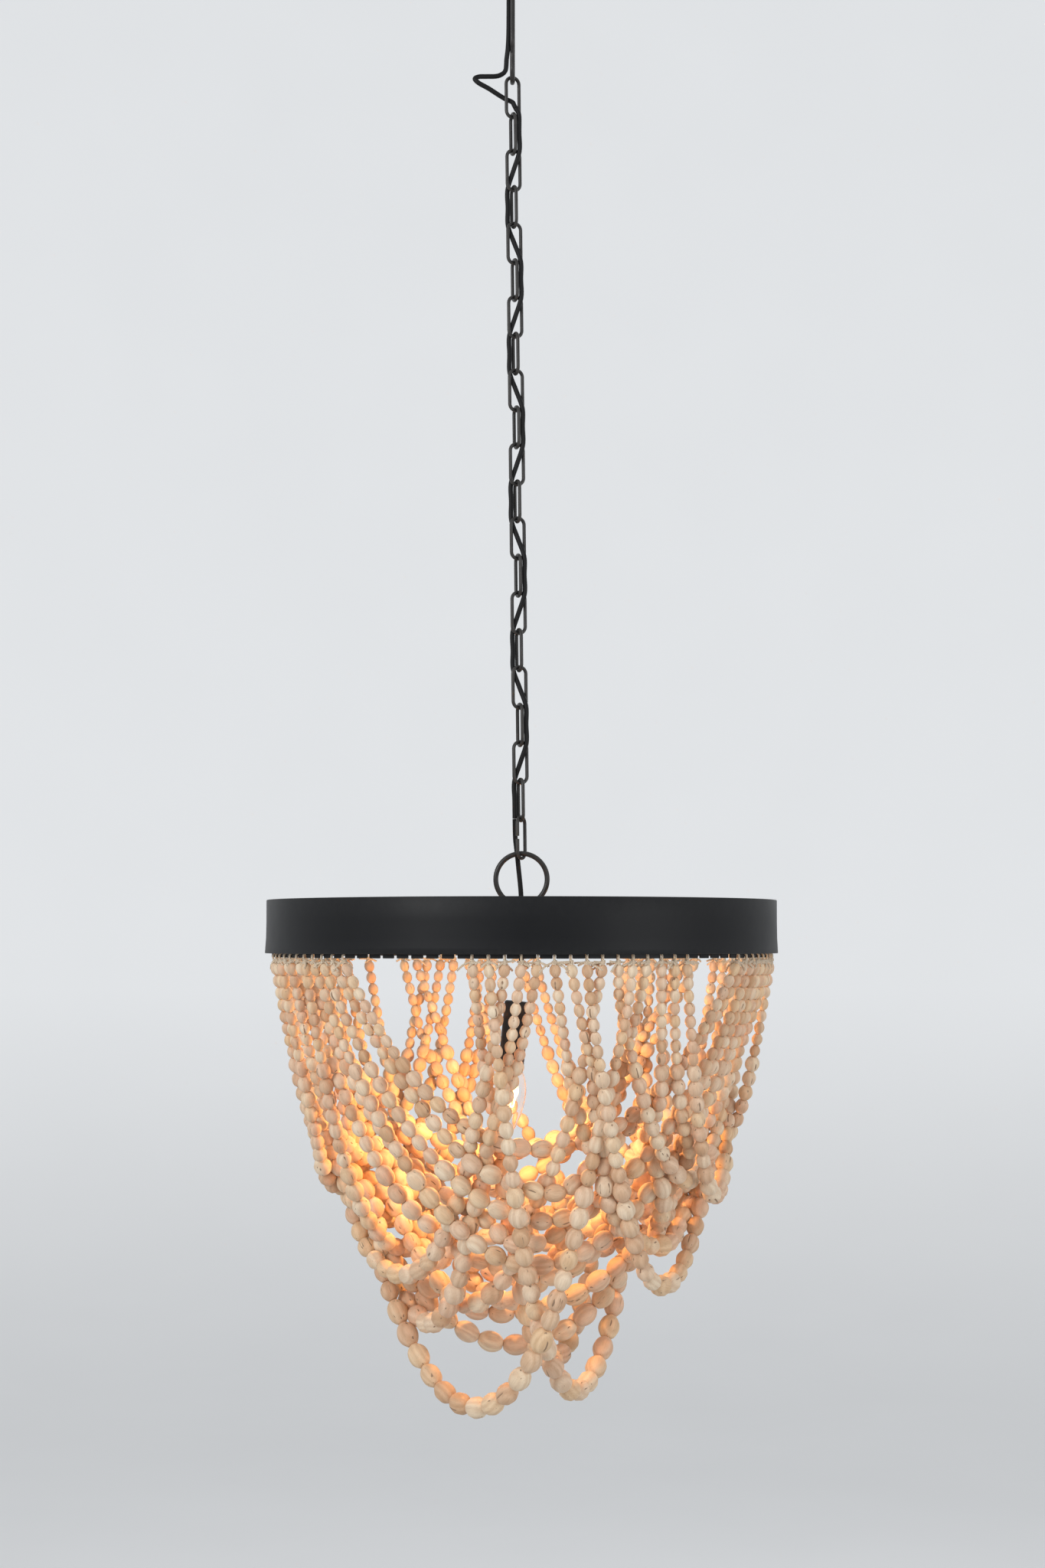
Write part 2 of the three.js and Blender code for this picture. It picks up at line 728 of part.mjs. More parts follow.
function spokes() {
  const high = hubHeight - touchGap;
  const reach = Math.sqrt((bandBore - touchGap) ** 2 - (spokeWidth / 2) ** 2);
  const outline = new THREE.Shape([
    new THREE.Vector2(spokeInnerRadius, high - spokeThickness),
    new THREE.Vector2(reach, high - spokeThickness),
    new THREE.Vector2(reach, high + spokeTabHeight),
    new THREE.Vector2(reach - spokeThickness, high + spokeTabHeight),
    new THREE.Vector2(reach - spokeThickness, high),
    new THREE.Vector2(spokeInnerRadius, high),
  ]);
  return Array.from({ length: spokeCount }, (_, i) => {
    const bar = new THREE.ExtrudeGeometry(outline, { depth: spokeWidth, bevelEnabled: false });
    bar.translate(0, 0, -spokeWidth / 2);
    bar.rotateX(Math.PI / 2);
    const mesh = piece(`spoke_${i + 1}`, bar, materials.blackMetal);
    mesh.rotation.z = ((i + spokeTurnShare) * 2 * Math.PI) / spokeCount;
    return mesh;
  });
}

function hangingEye() {
  const bend = ringWire / 2 + eyeSideGap + eyeWire / 2;
  const archTop = ringBottom + (ringWire + eyeWire) / 2 + touchGap;
  const centre = new THREE.Vector3(0, 0, archTop - bend);
  const foot = hubTop + touchGap;
  const points = [
    new THREE.Vector3(0, bend, foot),
    ...arc(centre, bend, 0, Math.PI, 6, yAxis, zAxis),
    new THREE.Vector3(0, -bend, foot),
  ];
  return piece('hanging_eye', wire(points, eyeWire, 6, { start: xAxis }), materials.blackMetal);
}

function hangingRing() {
  const centre = new THREE.Vector3(0, 0, ringBottom + ringSpine);
  const circle = arc(centre, ringSpine, 0, 2 * Math.PI, 20, xAxis, zAxis).slice(0, -1);
  return piece('hanging_ring', wire(circle, ringWire, 6, { isLoop: true }), materials.blackMetal);
}

const gripOuter = cordWidth / 2 + touchGap + gripWall;

function cordGrip() {
  const bore = cordWidth / 2 + touchGap;
  const flange = hubHeight - touchGap;
  const grip = turned([
    [bore, flange - gripFlange - gripLength],
    [gripOuter, flange - gripFlange - gripLength],
    [gripOuter, flange - gripFlange],
    [gripOuter + gripFlange, flange - gripFlange],
    [gripOuter + gripFlange, flange],
    [gripOuter, flange],
    [gripOuter, hubTop],
    [bore, hubTop],
  ], 8);
  const mesh = piece('cord_grip', grip, materials.plastic);
  mesh.position.y = cordHoleOffset;
  return mesh;
}

// Lamp: heights here are from the holder's top, along the holder

function lampPieces() {
  const gripRadius = cordWidth / 2 + touchGap;
  const bore = holderRadius - holderWall;
  const capHole = gripRadius + gripWall + touchGap;
  const shell = piece('holder_shell', turned([
    [capHole, -holderWall],
    [bore, -holderWall],
    [bore, -holderLength],
    [holderRadius, -holderLength],
    [holderRadius, -holderWall],
    [holderRadius - holderWall, 0],
    [capHole, 0],
  ], holderSides), materials.plastic);
  const nippleLow = -holderWall - touchGap - gripFlange;
  const nipple = piece('holder_grip', turned([
    [gripRadius, nippleLow],
    [gripRadius + gripWall + gripFlange, nippleLow],
    [gripRadius + gripWall + gripFlange, nippleLow + gripFlange],
    [gripRadius + gripWall, nippleLow + gripFlange],
    [gripRadius + gripWall, gripLength / 2],
    [gripRadius, gripLength / 2],
  ], 8), materials.plastic);
  const socketRadius = bore - touchGap;
  const socketBore = capRadius + touchGap;
  const socketLow = -holderLength + socketInset;
  const socketFloor = socketLow + socketDepth;
  const socket = piece('lamp_socket', turned([
    [0, socketFloor],
    [socketBore, socketFloor],
    [socketBore, socketLow],
    [socketRadius, socketLow],
    [socketRadius, socketFloor + socketWall],
    [0, socketFloor + socketWall],
  ], holderSides), materials.socket);
  const tabTop = socketFloor - touchGap;
  const tab = piece('socket_contact', turned([
    [0, tabTop - contactHeight],
    [contactRadius, tabTop - contactHeight],
    [contactRadius * contactFlareShare, tabTop],
    [0, tabTop],
  ], 8), materials.brass);
  const contactTop = tabTop - contactHeight - touchGap;
  const contact = piece('lamp_contact', turned([
    [0, contactTop - contactHeight],
    [contactRadius, contactTop - contactHeight],
    [contactRadius, contactTop],
    [0, contactTop],
  ], 8), materials.brass);
  const capTop = contactTop - contactHeight - touchGap;
  const capLow = capTop - capLength;
  const shoulder = capTop - capRadius * capShoulderShare;
  const cap = piece('lamp_cap', turned([
    [0, capTop],
    [capRadius * capTopShare, capTop],
    [capRadius, shoulder],
    [capRadius, capLow],
    [capRadius - capWall, capLow],
    [capRadius - capWall, shoulder - capWall],
    [0, shoulder - capWall],
  ].reverse(), holderSides), materials.brass);
  return [shell, nipple, socket, tab, contact, cap, ...lampGlass(capLow)];
}

// The candle glass: its neck sits in the cap, and its tip points down
function lampGlass(capLow) {
  const neckTop = capLow + capLength * glassSeatShare;
  const neck = Math.min(glassNeckRadius, capRadius - capWall - touchGap);
  const outerShares = [[0.62, 0.1], [0.9, 0.24], [1, 0.4], [0.9, 0.6], [0.64, 0.79], [0.28, 0.94]];
  const outer = outerShares.map(([across, down]) => [glassRadius * across, capLow - glassLength * down]);
  const inner = outerShares.slice(1).map(([across, down]) => [
    glassRadius * across - glassWall, capLow - (glassLength - glassWall) * down,
  ]);
  const glass = piece('lamp_glass', turned([
    [neck - glassWall, neckTop],
    [neck - glassWall, capLow],
    ...inner,
    [0, capLow - glassLength + glassWall],
    [0, capLow - glassLength],
    ...outer.toReversed(),
    [neck, capLow],
    [neck, neckTop],
  ], holderSides), materials.glass);
  return [glass, ...lampInside(neckTop, neck - glassWall - touchGap)];
}

// The glass stem in the neck, and the glowing wire that it carries
function lampInside(top, flangeRadius) {
  const low = top - stemLength;
  const stem = piece('lamp_stem', turned([
    [0, low],
    [stemRadius * stemTipShare, low],
    [stemRadius, low + stemLength * stemBulgeShare],
    [flangeRadius, top],
    [0, top],
  ], 8), materials.glass);
  const start = low - touchGap;
  const turnShares = [[-0.15, 0], [-0.8, 0.12], [-1, 0.5], [-0.95, 0.9], [-0.7, 1], [-0.45, 0.9],
    [-0.4, 0.4], [-0.2, 0.22], [0.2, 0.22], [0.4, 0.4], [0.45, 0.9], [0.7, 1], [0.95, 0.9],
    [1, 0.5], [0.8, 0.12], [0.2, 0.01]];
  const line = turnShares.map(([across, down]) => new THREE.Vector3(
    across * filamentSpread, 0, start - filamentWire / 2 - down * filamentDrop,
  ));
  const filament = piece('lamp_filament', wire(smoothed(line, 36), filamentWire, 4), materials.filament);
  return [stem, filament];
}

// Assembly

const chandelier = new THREE.Group();
chandelier.add(ceilingPlate(), canopy(), canopyBush(), hook(), hookNut());
chandelier.add(cordPiece('cord_from_ceiling', cordFromCeiling()));

const chain = new THREE.Group();
chain.position.z = -hookDrop;
chain.rotation.y = chainTilt;
chain.add(...chainLinks(), cordPiece('cord_in_chain', chainWeave()));
chandelier.add(chain);

const hoop = new THREE.Group();
hoop.position.copy(hoopPlace());
hoop.add(band(), beadRail(), hub(), ...spokes(), hangingEye(), hangingRing(), cordGrip());
hoop.add(cordPiece('cord_to_hoop', cordToHoop()), cordPiece('cord_to_lamp', cordToLamp()));
hoop.add(...settled.map(({ swag, junctions, beads }) => strand(swag, junctions, beads)));
chandelier.add(hoop);

const lamp = new THREE.Group();
lamp.position.copy(lampPlace());
lamp.rotation.y = lampTilt;
lamp.add(...lampPieces());
hoop.add(lamp);

export default chandelier;
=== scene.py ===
import json
import math

import bmesh
import bpy
import numpy as np
from mathutils import Matrix, Vector

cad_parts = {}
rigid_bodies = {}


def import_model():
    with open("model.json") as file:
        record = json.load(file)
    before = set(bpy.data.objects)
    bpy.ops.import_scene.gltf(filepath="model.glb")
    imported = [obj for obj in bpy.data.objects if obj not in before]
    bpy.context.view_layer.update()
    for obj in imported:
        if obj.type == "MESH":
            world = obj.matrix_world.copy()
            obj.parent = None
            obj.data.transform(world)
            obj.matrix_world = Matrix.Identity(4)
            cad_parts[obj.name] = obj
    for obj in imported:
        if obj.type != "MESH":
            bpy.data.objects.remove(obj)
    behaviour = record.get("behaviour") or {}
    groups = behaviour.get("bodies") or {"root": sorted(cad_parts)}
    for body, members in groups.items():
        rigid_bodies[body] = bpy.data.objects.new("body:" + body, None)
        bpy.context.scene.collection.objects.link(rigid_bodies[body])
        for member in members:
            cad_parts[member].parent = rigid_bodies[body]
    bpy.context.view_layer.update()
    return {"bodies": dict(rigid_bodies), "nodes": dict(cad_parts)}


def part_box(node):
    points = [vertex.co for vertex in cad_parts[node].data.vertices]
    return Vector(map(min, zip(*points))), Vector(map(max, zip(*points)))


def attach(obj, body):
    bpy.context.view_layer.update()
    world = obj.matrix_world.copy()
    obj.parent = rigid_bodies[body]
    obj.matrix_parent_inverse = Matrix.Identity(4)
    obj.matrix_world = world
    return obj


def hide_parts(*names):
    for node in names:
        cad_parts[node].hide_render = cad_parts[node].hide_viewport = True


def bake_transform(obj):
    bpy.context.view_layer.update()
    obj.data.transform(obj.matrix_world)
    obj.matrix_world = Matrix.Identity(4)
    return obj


# Looks of the beaded chandelier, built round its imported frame. Metres, +Z up, the viewer at -Y.

for leftover in list(bpy.data.objects):
    bpy.data.objects.remove(leftover)

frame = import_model()
nodes = frame["nodes"]

scene = bpy.context.scene
mm = 0.001
full_turn = 2 * math.pi

# Places that the frame gives
band_low, band_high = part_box("band")
hoop_place = Vector(((band_low.x + band_high.x) / 2, (band_low.y + band_high.y) / 2, band_low.z))
lamp_offset = Vector((-3.9 * mm, 5 * mm, -47 * mm))
lamp_tilt = math.radians(5.8)
in_hoop = Matrix.Translation(hoop_place)
in_lamp = Matrix.Translation(hoop_place + lamp_offset) @ Matrix.Rotation(lamp_tilt, 4, "Y")
hook_drop = 129 * mm
chain_lean, chain_length = 9, 776.25
chain_tilt = -math.asin(chain_lean / chain_length)
in_chain = Matrix.Translation((0, 0, -hook_drop)) @ Matrix.Rotation(chain_tilt, 4, "Y")


# Node trees

def add(tree, kind, settings=None, inputs=None):
    """A new node with its settings, and its inputs given a value or the socket that feeds them."""
    node = tree.nodes.new(kind)
    for key, value in (settings or {}).items():
        setattr(node, key, value)
    for key, value in (inputs or {}).items():
        if isinstance(value, bpy.types.NodeSocket):
            tree.links.new(value, node.inputs[key])
        else:
            node.inputs[key].default_value = value
    return node


def math_node(tree, operation, first, second=0.0, clamp=False):
    node = add(tree, "ShaderNodeMath", {"operation": operation, "use_clamp": clamp}, {0: first, 1: second})
    return node.outputs[0]


def vector_node(tree, operation, first, second):
    node = add(tree, "ShaderNodeVectorMath", {"operation": operation}, {0: first, 1: second})
    return node.outputs[0]


def ramp(tree, value, stops):
    node = add(tree, "ShaderNodeValToRGB", inputs={"Fac": value})
    elements = node.color_ramp.elements
    for _ in stops[len(elements):]:
        elements.new(0.5)
    for element, (position, colour) in zip(elements, stops):
        element.position = position
        element.color = (*colour, 1)
    return node.outputs["Color"]


def mixed(tree, share, first, second, blend="MIX"):
    first, second = ((*c, 1) if isinstance(c, tuple) else c for c in (first, second))
    node = add(tree, "ShaderNodeMix", {"data_type": "RGBA", "blend_type": blend}, {
        0: share, 6: first, 7: second,
    })
    return node.outputs[2]


def ranged(tree, value, low, high):
    """The value's 0 to 1 spread over low to high."""
    node = add(tree, "ShaderNodeMapRange", inputs={"Value": value, "To Min": low, "To Max": high})
    return node.outputs["Result"]


def node_group(name, kind, inputs, outputs, output_kind):
    """A new group with its inputs (kind and default), its outputs, and the sockets inside it."""
    tree = bpy.data.node_groups.new(name, kind)
    for key, (input_kind, value) in inputs.items():
        socket = tree.interface.new_socket(key, in_out="INPUT", socket_type=input_kind)
        if value is not None:
            socket.default_value = value
    for key in outputs:
        tree.interface.new_socket(key, in_out="OUTPUT", socket_type=output_kind)
    return tree, tree.nodes.new("NodeGroupInput").outputs, tree.nodes.new("NodeGroupOutput").inputs


def shader_group(name, inputs, outputs):
    return node_group(
        name, "ShaderNodeTree", {"Place": ("NodeSocketVector", None), **inputs}, outputs, "NodeSocketFloat",
    )


def feed(tree, sockets, **values):
    """Links what changes over the surface to the sockets that take it."""
    for key, value in values.items():
        tree.links.new(value, sockets[key.replace("_", " ")])


def noise(tree, vector, scale, detail, roughness):
    node = add(tree, "ShaderNodeTexNoise", inputs={
        "Vector": vector, "Scale": scale, "Detail": detail, "Roughness": roughness,
    })
    return node.outputs["Fac"]


def seen_rays(tree):
    """1 for rays from the camera, straight or by way of a mirror or glass, and 0 for the rest."""
    rays = add(tree, "ShaderNodeLightPath").outputs
    direct = math_node(tree, "ADD", rays["Is Camera Ray"], rays["Is Glossy Ray"])
    return math_node(tree, "ADD", direct, rays["Is Transmission Ray"], clamp=True)


def wood_grain_group():
    """Fibres, growth rings and fine cracks of a turned bead, along its own Z."""
    tree, given, out = shader_group(
        "wood grain",
        {"Fibre Scale": ("NodeSocketFloat", 900.0), "Ring Scale": ("NodeSocketFloat", 120.0)},
        ("Fibre", "Ring", "Crack", "Height"),
    )
    place = given["Place"]
    along = vector_node(tree, "MULTIPLY", place, (1, 1, 0.09))
    fibre = noise(tree, along, given["Fibre Scale"], 3, 0.6)
    bend = noise(tree, place, given["Ring Scale"], 2, 0.5)
    ring_place = vector_node(tree, "MULTIPLY", place, (1, 0.35, 0.16))
    wave = add(tree, "ShaderNodeTexWave", {"bands_direction": "X"}, {
        "Vector": ring_place, "Scale": given["Ring Scale"], "Distortion": 5.0, "Detail": 2.0,
        "Detail Scale": 1.4,
    }).outputs["Fac"]
    ring = math_node(tree, "MULTIPLY", wave, math_node(tree, "ADD", bend, 0.35), clamp=True)
    split = noise(tree, vector_node(tree, "MULTIPLY", place, (1, 1, 0.05)), 330.0, 1, 0.4)
    crack = math_node(tree, "MULTIPLY", math_node(tree, "SUBTRACT", split, 0.70), 18.0, clamp=True)
    height = math_node(tree, "SUBTRACT", math_node(tree, "MULTIPLY", fibre, 0.5), crack)
    feed(tree, out, Fibre=fibre, Ring=ring, Crack=crack, Height=height)
    return tree


def worn_surface_group():
    """Cloudy sheen, a fine grain, and the rubbed edges of a coated or moulded surface."""
    tree, given, out = shader_group(
        "worn surface",
        {"Cloud Scale": ("NodeSocketFloat", 9.0), "Grain Scale": ("NodeSocketFloat", 1400.0),
         "Edge Reach": ("NodeSocketFloat", 0.06)},
        ("Cloud", "Grain", "Edge"),
    )
    place = given["Place"]
    cloud = noise(tree, place, given["Cloud Scale"], 5, 0.6)
    grain = noise(tree, place, given["Grain Scale"], 2, 0.5)
    point = add(tree, "ShaderNodeNewGeometry").outputs["Pointiness"]
    raised = math_node(tree, "SUBTRACT", point, 0.5)
    reach = math_node(tree, "DIVIDE", raised, given["Edge Reach"], clamp=True)
    broken = math_node(tree, "MULTIPLY", reach, noise(tree, place, 160.0, 3, 0.6), clamp=True)
    feed(tree, out, Cloud=cloud, Grain=grain, Edge=broken)
    return tree


wood_grain = wood_grain_group()
worn_surface = worn_surface_group()


# Materials

def new_material(name, **sockets):
    """A material with its shader's plain values, and its tree and shader."""
    made = bpy.data.materials.new(name)
    made.use_nodes = True
    tree = made.node_tree
    shader = tree.nodes["Principled BSDF"]
    for key, value in sockets.items():
        shader.inputs[key.replace("_", " ")].default_value = value
    return made, tree, shader


def placed_group(tree, group, place, **inputs):
    node = add(tree, "ShaderNodeGroup", {"node_tree": group}, {"Place": place})
    for key, value in inputs.items():
        node.inputs[key.replace("_", " ")].default_value = value
    return node.outputs


def object_place(tree):
    return add(tree, "ShaderNodeTexCoord").outputs["Object"]


def attribute(tree, name, output="Fac"):
    return add(tree, "ShaderNodeAttribute", {"attribute_name": name}).outputs[output]


def bump(tree, shader, height, distance, strength):
    node = add(tree, "ShaderNodeBump", inputs={
        "Height": height, "Distance": distance, "Strength": strength,
    })
    feed(tree, shader.inputs, Normal=node.outputs["Normal"])


def raw_wood():
    made, tree, shader = new_material("raw wood", Roughness=0.6, Specular_IOR_Level=0.4)
    place = attribute(tree, "place", "Vector")
    grain = placed_group(tree, wood_grain, place, Fibre_Scale=820.0, Ring_Scale=52.0)
    tone = ramp(tree, attribute(tree, "tone"), (
        (0.0, (0.68, 0.44, 0.26)), (0.2, (0.82, 0.57, 0.40)), (0.42, (0.86, 0.66, 0.48)),
        (0.62, (0.90, 0.74, 0.55)), (0.82, (0.85, 0.61, 0.38)), (1.0, (0.76, 0.54, 0.37)),
    ))
    darker = mixed(tree, 1.0, tone, (0.66, 0.52, 0.40), "MULTIPLY")
    ringed = mixed(tree, ranged(tree, grain["Ring"], 0, 0.42), tone, darker)
    deep = mixed(tree, 1.0, tone, (0.42, 0.30, 0.22), "MULTIPLY")
    fibred = mixed(tree, ranged(tree, ramp(tree, grain["Fibre"], (
        (0.0, (1, 1, 1)), (0.40, (0.5, 0.5, 0.5)), (0.52, (0, 0, 0)),
    )), 0, 0.26), ringed, deep)
    cracked = mixed(tree, grain["Crack"], fibred, (0.30, 0.19, 0.12))
    feed(tree, shader.inputs, Base_Color=cracked, Roughness=ranged(tree, grain["Fibre"], 0.48, 0.78))
    bump(tree, shader, grain["Height"], 0.22 * mm, 0.5)
    return made


def cotton_twine():
    made, tree, shader = new_material("cotton twine", Roughness=0.85, Sheen_Weight=0.3)
    place = object_place(tree)
    ply = add(tree, "ShaderNodeTexWave", {"bands_direction": "DIAGONAL"}, {
        "Vector": place, "Scale": 420.0, "Distortion": 2.0,
    }).outputs["Fac"]
    fluff = noise(tree, place, 1600.0, 3, 0.6)
    # Colour from the ply bands times the fluff: the dark grooves between the plies are painted shade, and the
    # fluff noise is the twine's own tone.
    fluff_and_groove_shade = math_node(tree, "MULTIPLY", ply, math_node(tree, "ADD", fluff, 0.4), clamp=True)
    feed(tree, shader.inputs, Base_Color=ramp(tree, fluff_and_groove_shade, (
        (0.0, (0.50, 0.36, 0.23)), (0.35, (0.72, 0.57, 0.41)), (0.9, (0.86, 0.74, 0.58)),
    )))
    bump(tree, shader, ply, 0.3 * mm, 0.7)
    return made


def coated_black(name, colour, worn, low_rough, high_rough, grain_scale=1400.0, coat=0.0, edge=0.35,
                 shine=0.16):
    """Black coating: cloudy sheen, fine grain in its height, and paler rubbed edges."""
    made, tree, shader = new_material(
        name, Coat_Weight=coat, Coat_Roughness=0.3, Specular_IOR_Level=shine,
    )
    surface = placed_group(tree, worn_surface, object_place(tree), Cloud_Scale=14.0, Grain_Scale=grain_scale)
    cloudy = mixed(tree, ranged(tree, surface["Cloud"], 0, 0.6), colour, tuple(x * 1.9 for x in colour))
    rubbed = mixed(tree, math_node(tree, "MULTIPLY", surface["Edge"], edge), cloudy, worn)
    sheen = ranged(tree, surface["Cloud"], low_rough, high_rough)
    feed(tree, shader.inputs, Base_Color=rubbed, Roughness=sheen)
    bump(tree, shader, surface["Grain"], 0.05 * mm, 0.4)
    return made


def brushed_metal(name, colour, roughness):
    made, tree, shader = new_material(name, Metallic=1.0)
    surface = placed_group(tree, worn_surface, object_place(tree), Cloud_Scale=60.0, Grain_Scale=2500.0)
    clouded = mixed(tree, surface["Cloud"], colour, tuple(x * 0.6 for x in colour))
    sheen = ranged(tree, surface["Cloud"], roughness, roughness + 0.25)
    feed(tree, shader.inputs, Base_Color=clouded, Roughness=sheen)
    bump(tree, shader, surface["Grain"], 0.04 * mm, 0.4)
    return made


def glazed_white():
    made, tree, shader = new_material("glazed insulator", Coat_Weight=0.4)
    surface = placed_group(tree, worn_surface, object_place(tree), Cloud_Scale=90.0)
    clouded = mixed(tree, surface["Cloud"], (0.82, 0.79, 0.72), (0.70, 0.66, 0.58))
    feed(tree, shader.inputs, Base_Color=clouded, Roughness=ranged(tree, surface["Cloud"], 0.25, 0.45))
    return made


def clear_glass():
    made, tree, shader = new_material("clear glass", Roughness=0.0, IOR=1.47, Transmission_Weight=1.0)
    faint = noise(tree, object_place(tree), 45.0, 2, 0.5)
    feed(tree, shader.inputs, Base_Color=mixed(tree, faint, (1.0, 1.0, 1.0), (0.97, 0.985, 0.98)))
    bump(tree, shader, faint, 0.2 * mm, 0.12)
    return made


def hot_wire():
    made, tree, shader = new_material("hot wire", Roughness=0.5, Emission_Strength=30.0)
    glow = noise(tree, object_place(tree), 90.0, 2, 0.5)
    light = mixed(tree, glow, (1.0, 0.62, 0.24), (1.0, 0.78, 0.42))
    metal = mixed(tree, glow, (0.9, 0.5, 0.2), (1.0, 0.7, 0.4))
    feed(tree, shader.inputs, Emission_Color=light, Base_Color=metal)
    return made


wood = raw_wood()
twine = cotton_twine()
band_black = coated_black("powder coat", (0.0062, 0.0066, 0.0076), (0.05, 0.05, 0.05), 0.36, 0.56)
wire_black = coated_black(
    "black wire", (0.006, 0.006, 0.0065), (0.12, 0.11, 0.10), 0.26, 0.46, 1800.0, 0.1, 0.5, 0.3,
)
cord_black = coated_black("cord sheath", (0.007, 0.007, 0.0075), (0.03, 0.03, 0.03), 0.42, 0.58, 2200.0)
moulded_black = coated_black(
    "moulded black", (0.010, 0.008, 0.007), (0.05, 0.05, 0.05), 0.40, 0.55, 2600.0, 0.0, 0.35, 0.25,
)
bare_steel = brushed_metal("bare steel", (0.62, 0.60, 0.57), 0.25)
brass = brushed_metal("brass", (0.80, 0.60, 0.30), 0.22)
ceramic = glazed_white()
glass = clear_glass()
glow_wire = hot_wire()


# Mesh makers

def new_object(name, mesh):
    made = bpy.data.objects.new(name, mesh)
    scene.collection.objects.link(made)
    return made


def mesh_from(name, points, edges=(), faces=()):
    mesh = bpy.data.meshes.new(name)
    mesh.from_pydata([tuple(p) for p in points], edges, faces)
    return mesh


def smooth(mesh, sharp):
    mesh.shade_smooth()
    mesh.set_sharp_from_angle(angle=math.radians(sharp))


def settle_piece(made, body, finish, *replaced, slot):
    """Gives a finished mesh its material, its body and the nodes that it stands for; its slot is not used."""
    if finish:
        made.data.materials.clear()
        made.data.materials.append(finish)
    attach(made, body)
    if replaced:
        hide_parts(*replaced)
    return made


def turned_faces(rows, segments, closed=False):
    """Faces between the points of a profile turned in that many steps, row by row."""
    faces = []
    for side in range(segments):
        near, far = side * rows, ((side + 1) % segments) * rows
        for row in range(rows if closed else rows - 1):
            up = (row + 1) % rows
            faces.append((near + row, far + row, far + up, near + up))
    return faces


thread_pitch = 2.82


def turned(name, profile, place, segments, screw=0.0, sharp=35):
    """A turned piece from (radius, height) pairs in mm, put in place. screw is a thread's depth."""
    points = []
    for side in range(segments):
        angle = full_turn * side / segments
        for radius, height in profile:
            wave = screw * math.cos(full_turn * height / thread_pitch - angle)
            reach = (radius + (wave if radius > 0 else 0)) * mm
            points.append(place @ Vector((reach * math.cos(angle), reach * math.sin(angle), height * mm)))
    closed = profile[0][0] > 0 or profile[-1][0] > 0
    mesh = mesh_from(name, points, faces=turned_faces(len(profile), segments, closed))
    work = bmesh.new()
    work.from_mesh(mesh)
    bmesh.ops.remove_doubles(work, verts=work.verts, dist=1e-6)
    bmesh.ops.recalc_face_normals(work, faces=work.faces)
    work.to_mesh(mesh)
    work.free()
    smooth(mesh, sharp)
    return new_object(name, mesh)


def curve_through(points, steps):
    """A smooth line through the points, with that many steps between each two."""
    points = np.asarray(points, float)
    padded = np.vstack([2 * points[0] - points[1], points, 2 * points[-1] - points[-2]])
    line = []
    for i in range(1, len(padded) - 2):
        a, b, c, d = padded[i - 1:i + 3]
        for step in range(steps):
            t = step / steps
            line.append(0.5 * (2 * b + (c - a) * t + (2 * a - 5 * b + 4 * c - d) * t ** 2
                               + (3 * b - a - 3 * c + d) * t ** 3))
    line.append(padded[-2])
    return np.array(line)


def geometry_tree(name, inputs):
    kind = "NodeSocketGeometry"
    return node_group(name, "GeometryNodeTree", {"Geometry": (kind, None), **inputs}, ["Geometry"], kind)


def painted(tree, geometry, finish):
    return add(tree, "GeometryNodeSetMaterial", inputs={
        "Geometry": geometry, "Material": finish,
    }).outputs["Geometry"]


def shaped(made, tree, **inputs):
    """Runs a geometry tree on an object with those inputs and keeps the result as its plain mesh."""
    modifier = made.modifiers.new(tree.name, "NODES")
    modifier.node_group = tree
    sockets = {s.name: s.identifier for s in tree.interface.items_tree if s.in_out == "INPUT"}
    for key, value in inputs.items():
        modifier[sockets[key.replace("_", " ")]] = value
    graph = bpy.context.evaluated_depsgraph_get()
    mesh = bpy.data.meshes.new_from_object(
        made.evaluated_get(graph), preserve_all_data_layers=True, depsgraph=graph,
    )
    made.modifiers.clear()
    made.data = mesh
    return made


def round_wire_tree():
    """Round wire or twine along the object's edges. Its attribute thickness scales it along the way."""
    tree, given, out = geometry_tree("round wire", {
        "Radius": ("NodeSocketFloat", 0.001), "Sides": ("NodeSocketInt", 12),
        "Finish": ("NodeSocketMaterial", None),
    })
    line = add(tree, "GeometryNodeMeshToCurve", inputs={"Mesh": given["Geometry"]}).outputs["Curve"]
    thickness = add(tree, "GeometryNodeInputNamedAttribute", {"data_type": "FLOAT"}, {"Name": "thickness"})
    sized = add(tree, "GeometryNodeSetCurveRadius", inputs={
        "Curve": line, "Radius": thickness.outputs["Attribute"],
    }).outputs["Curve"]
    ring = add(tree, "GeometryNodeCurvePrimitiveCircle", inputs={
        "Resolution": given["Sides"], "Radius": given["Radius"],
    }).outputs["Curve"]
    tube = add(tree, "GeometryNodeCurveToMesh", inputs={
        "Curve": sized, "Profile Curve": ring, "Fill Caps": True,
    }).outputs["Mesh"]
    whole = add(tree, "GeometryNodeRealizeInstances", inputs={"Geometry": tube}).outputs["Geometry"]
    feed(tree, out, Geometry=painted(tree, whole, given["Finish"]))
    return tree


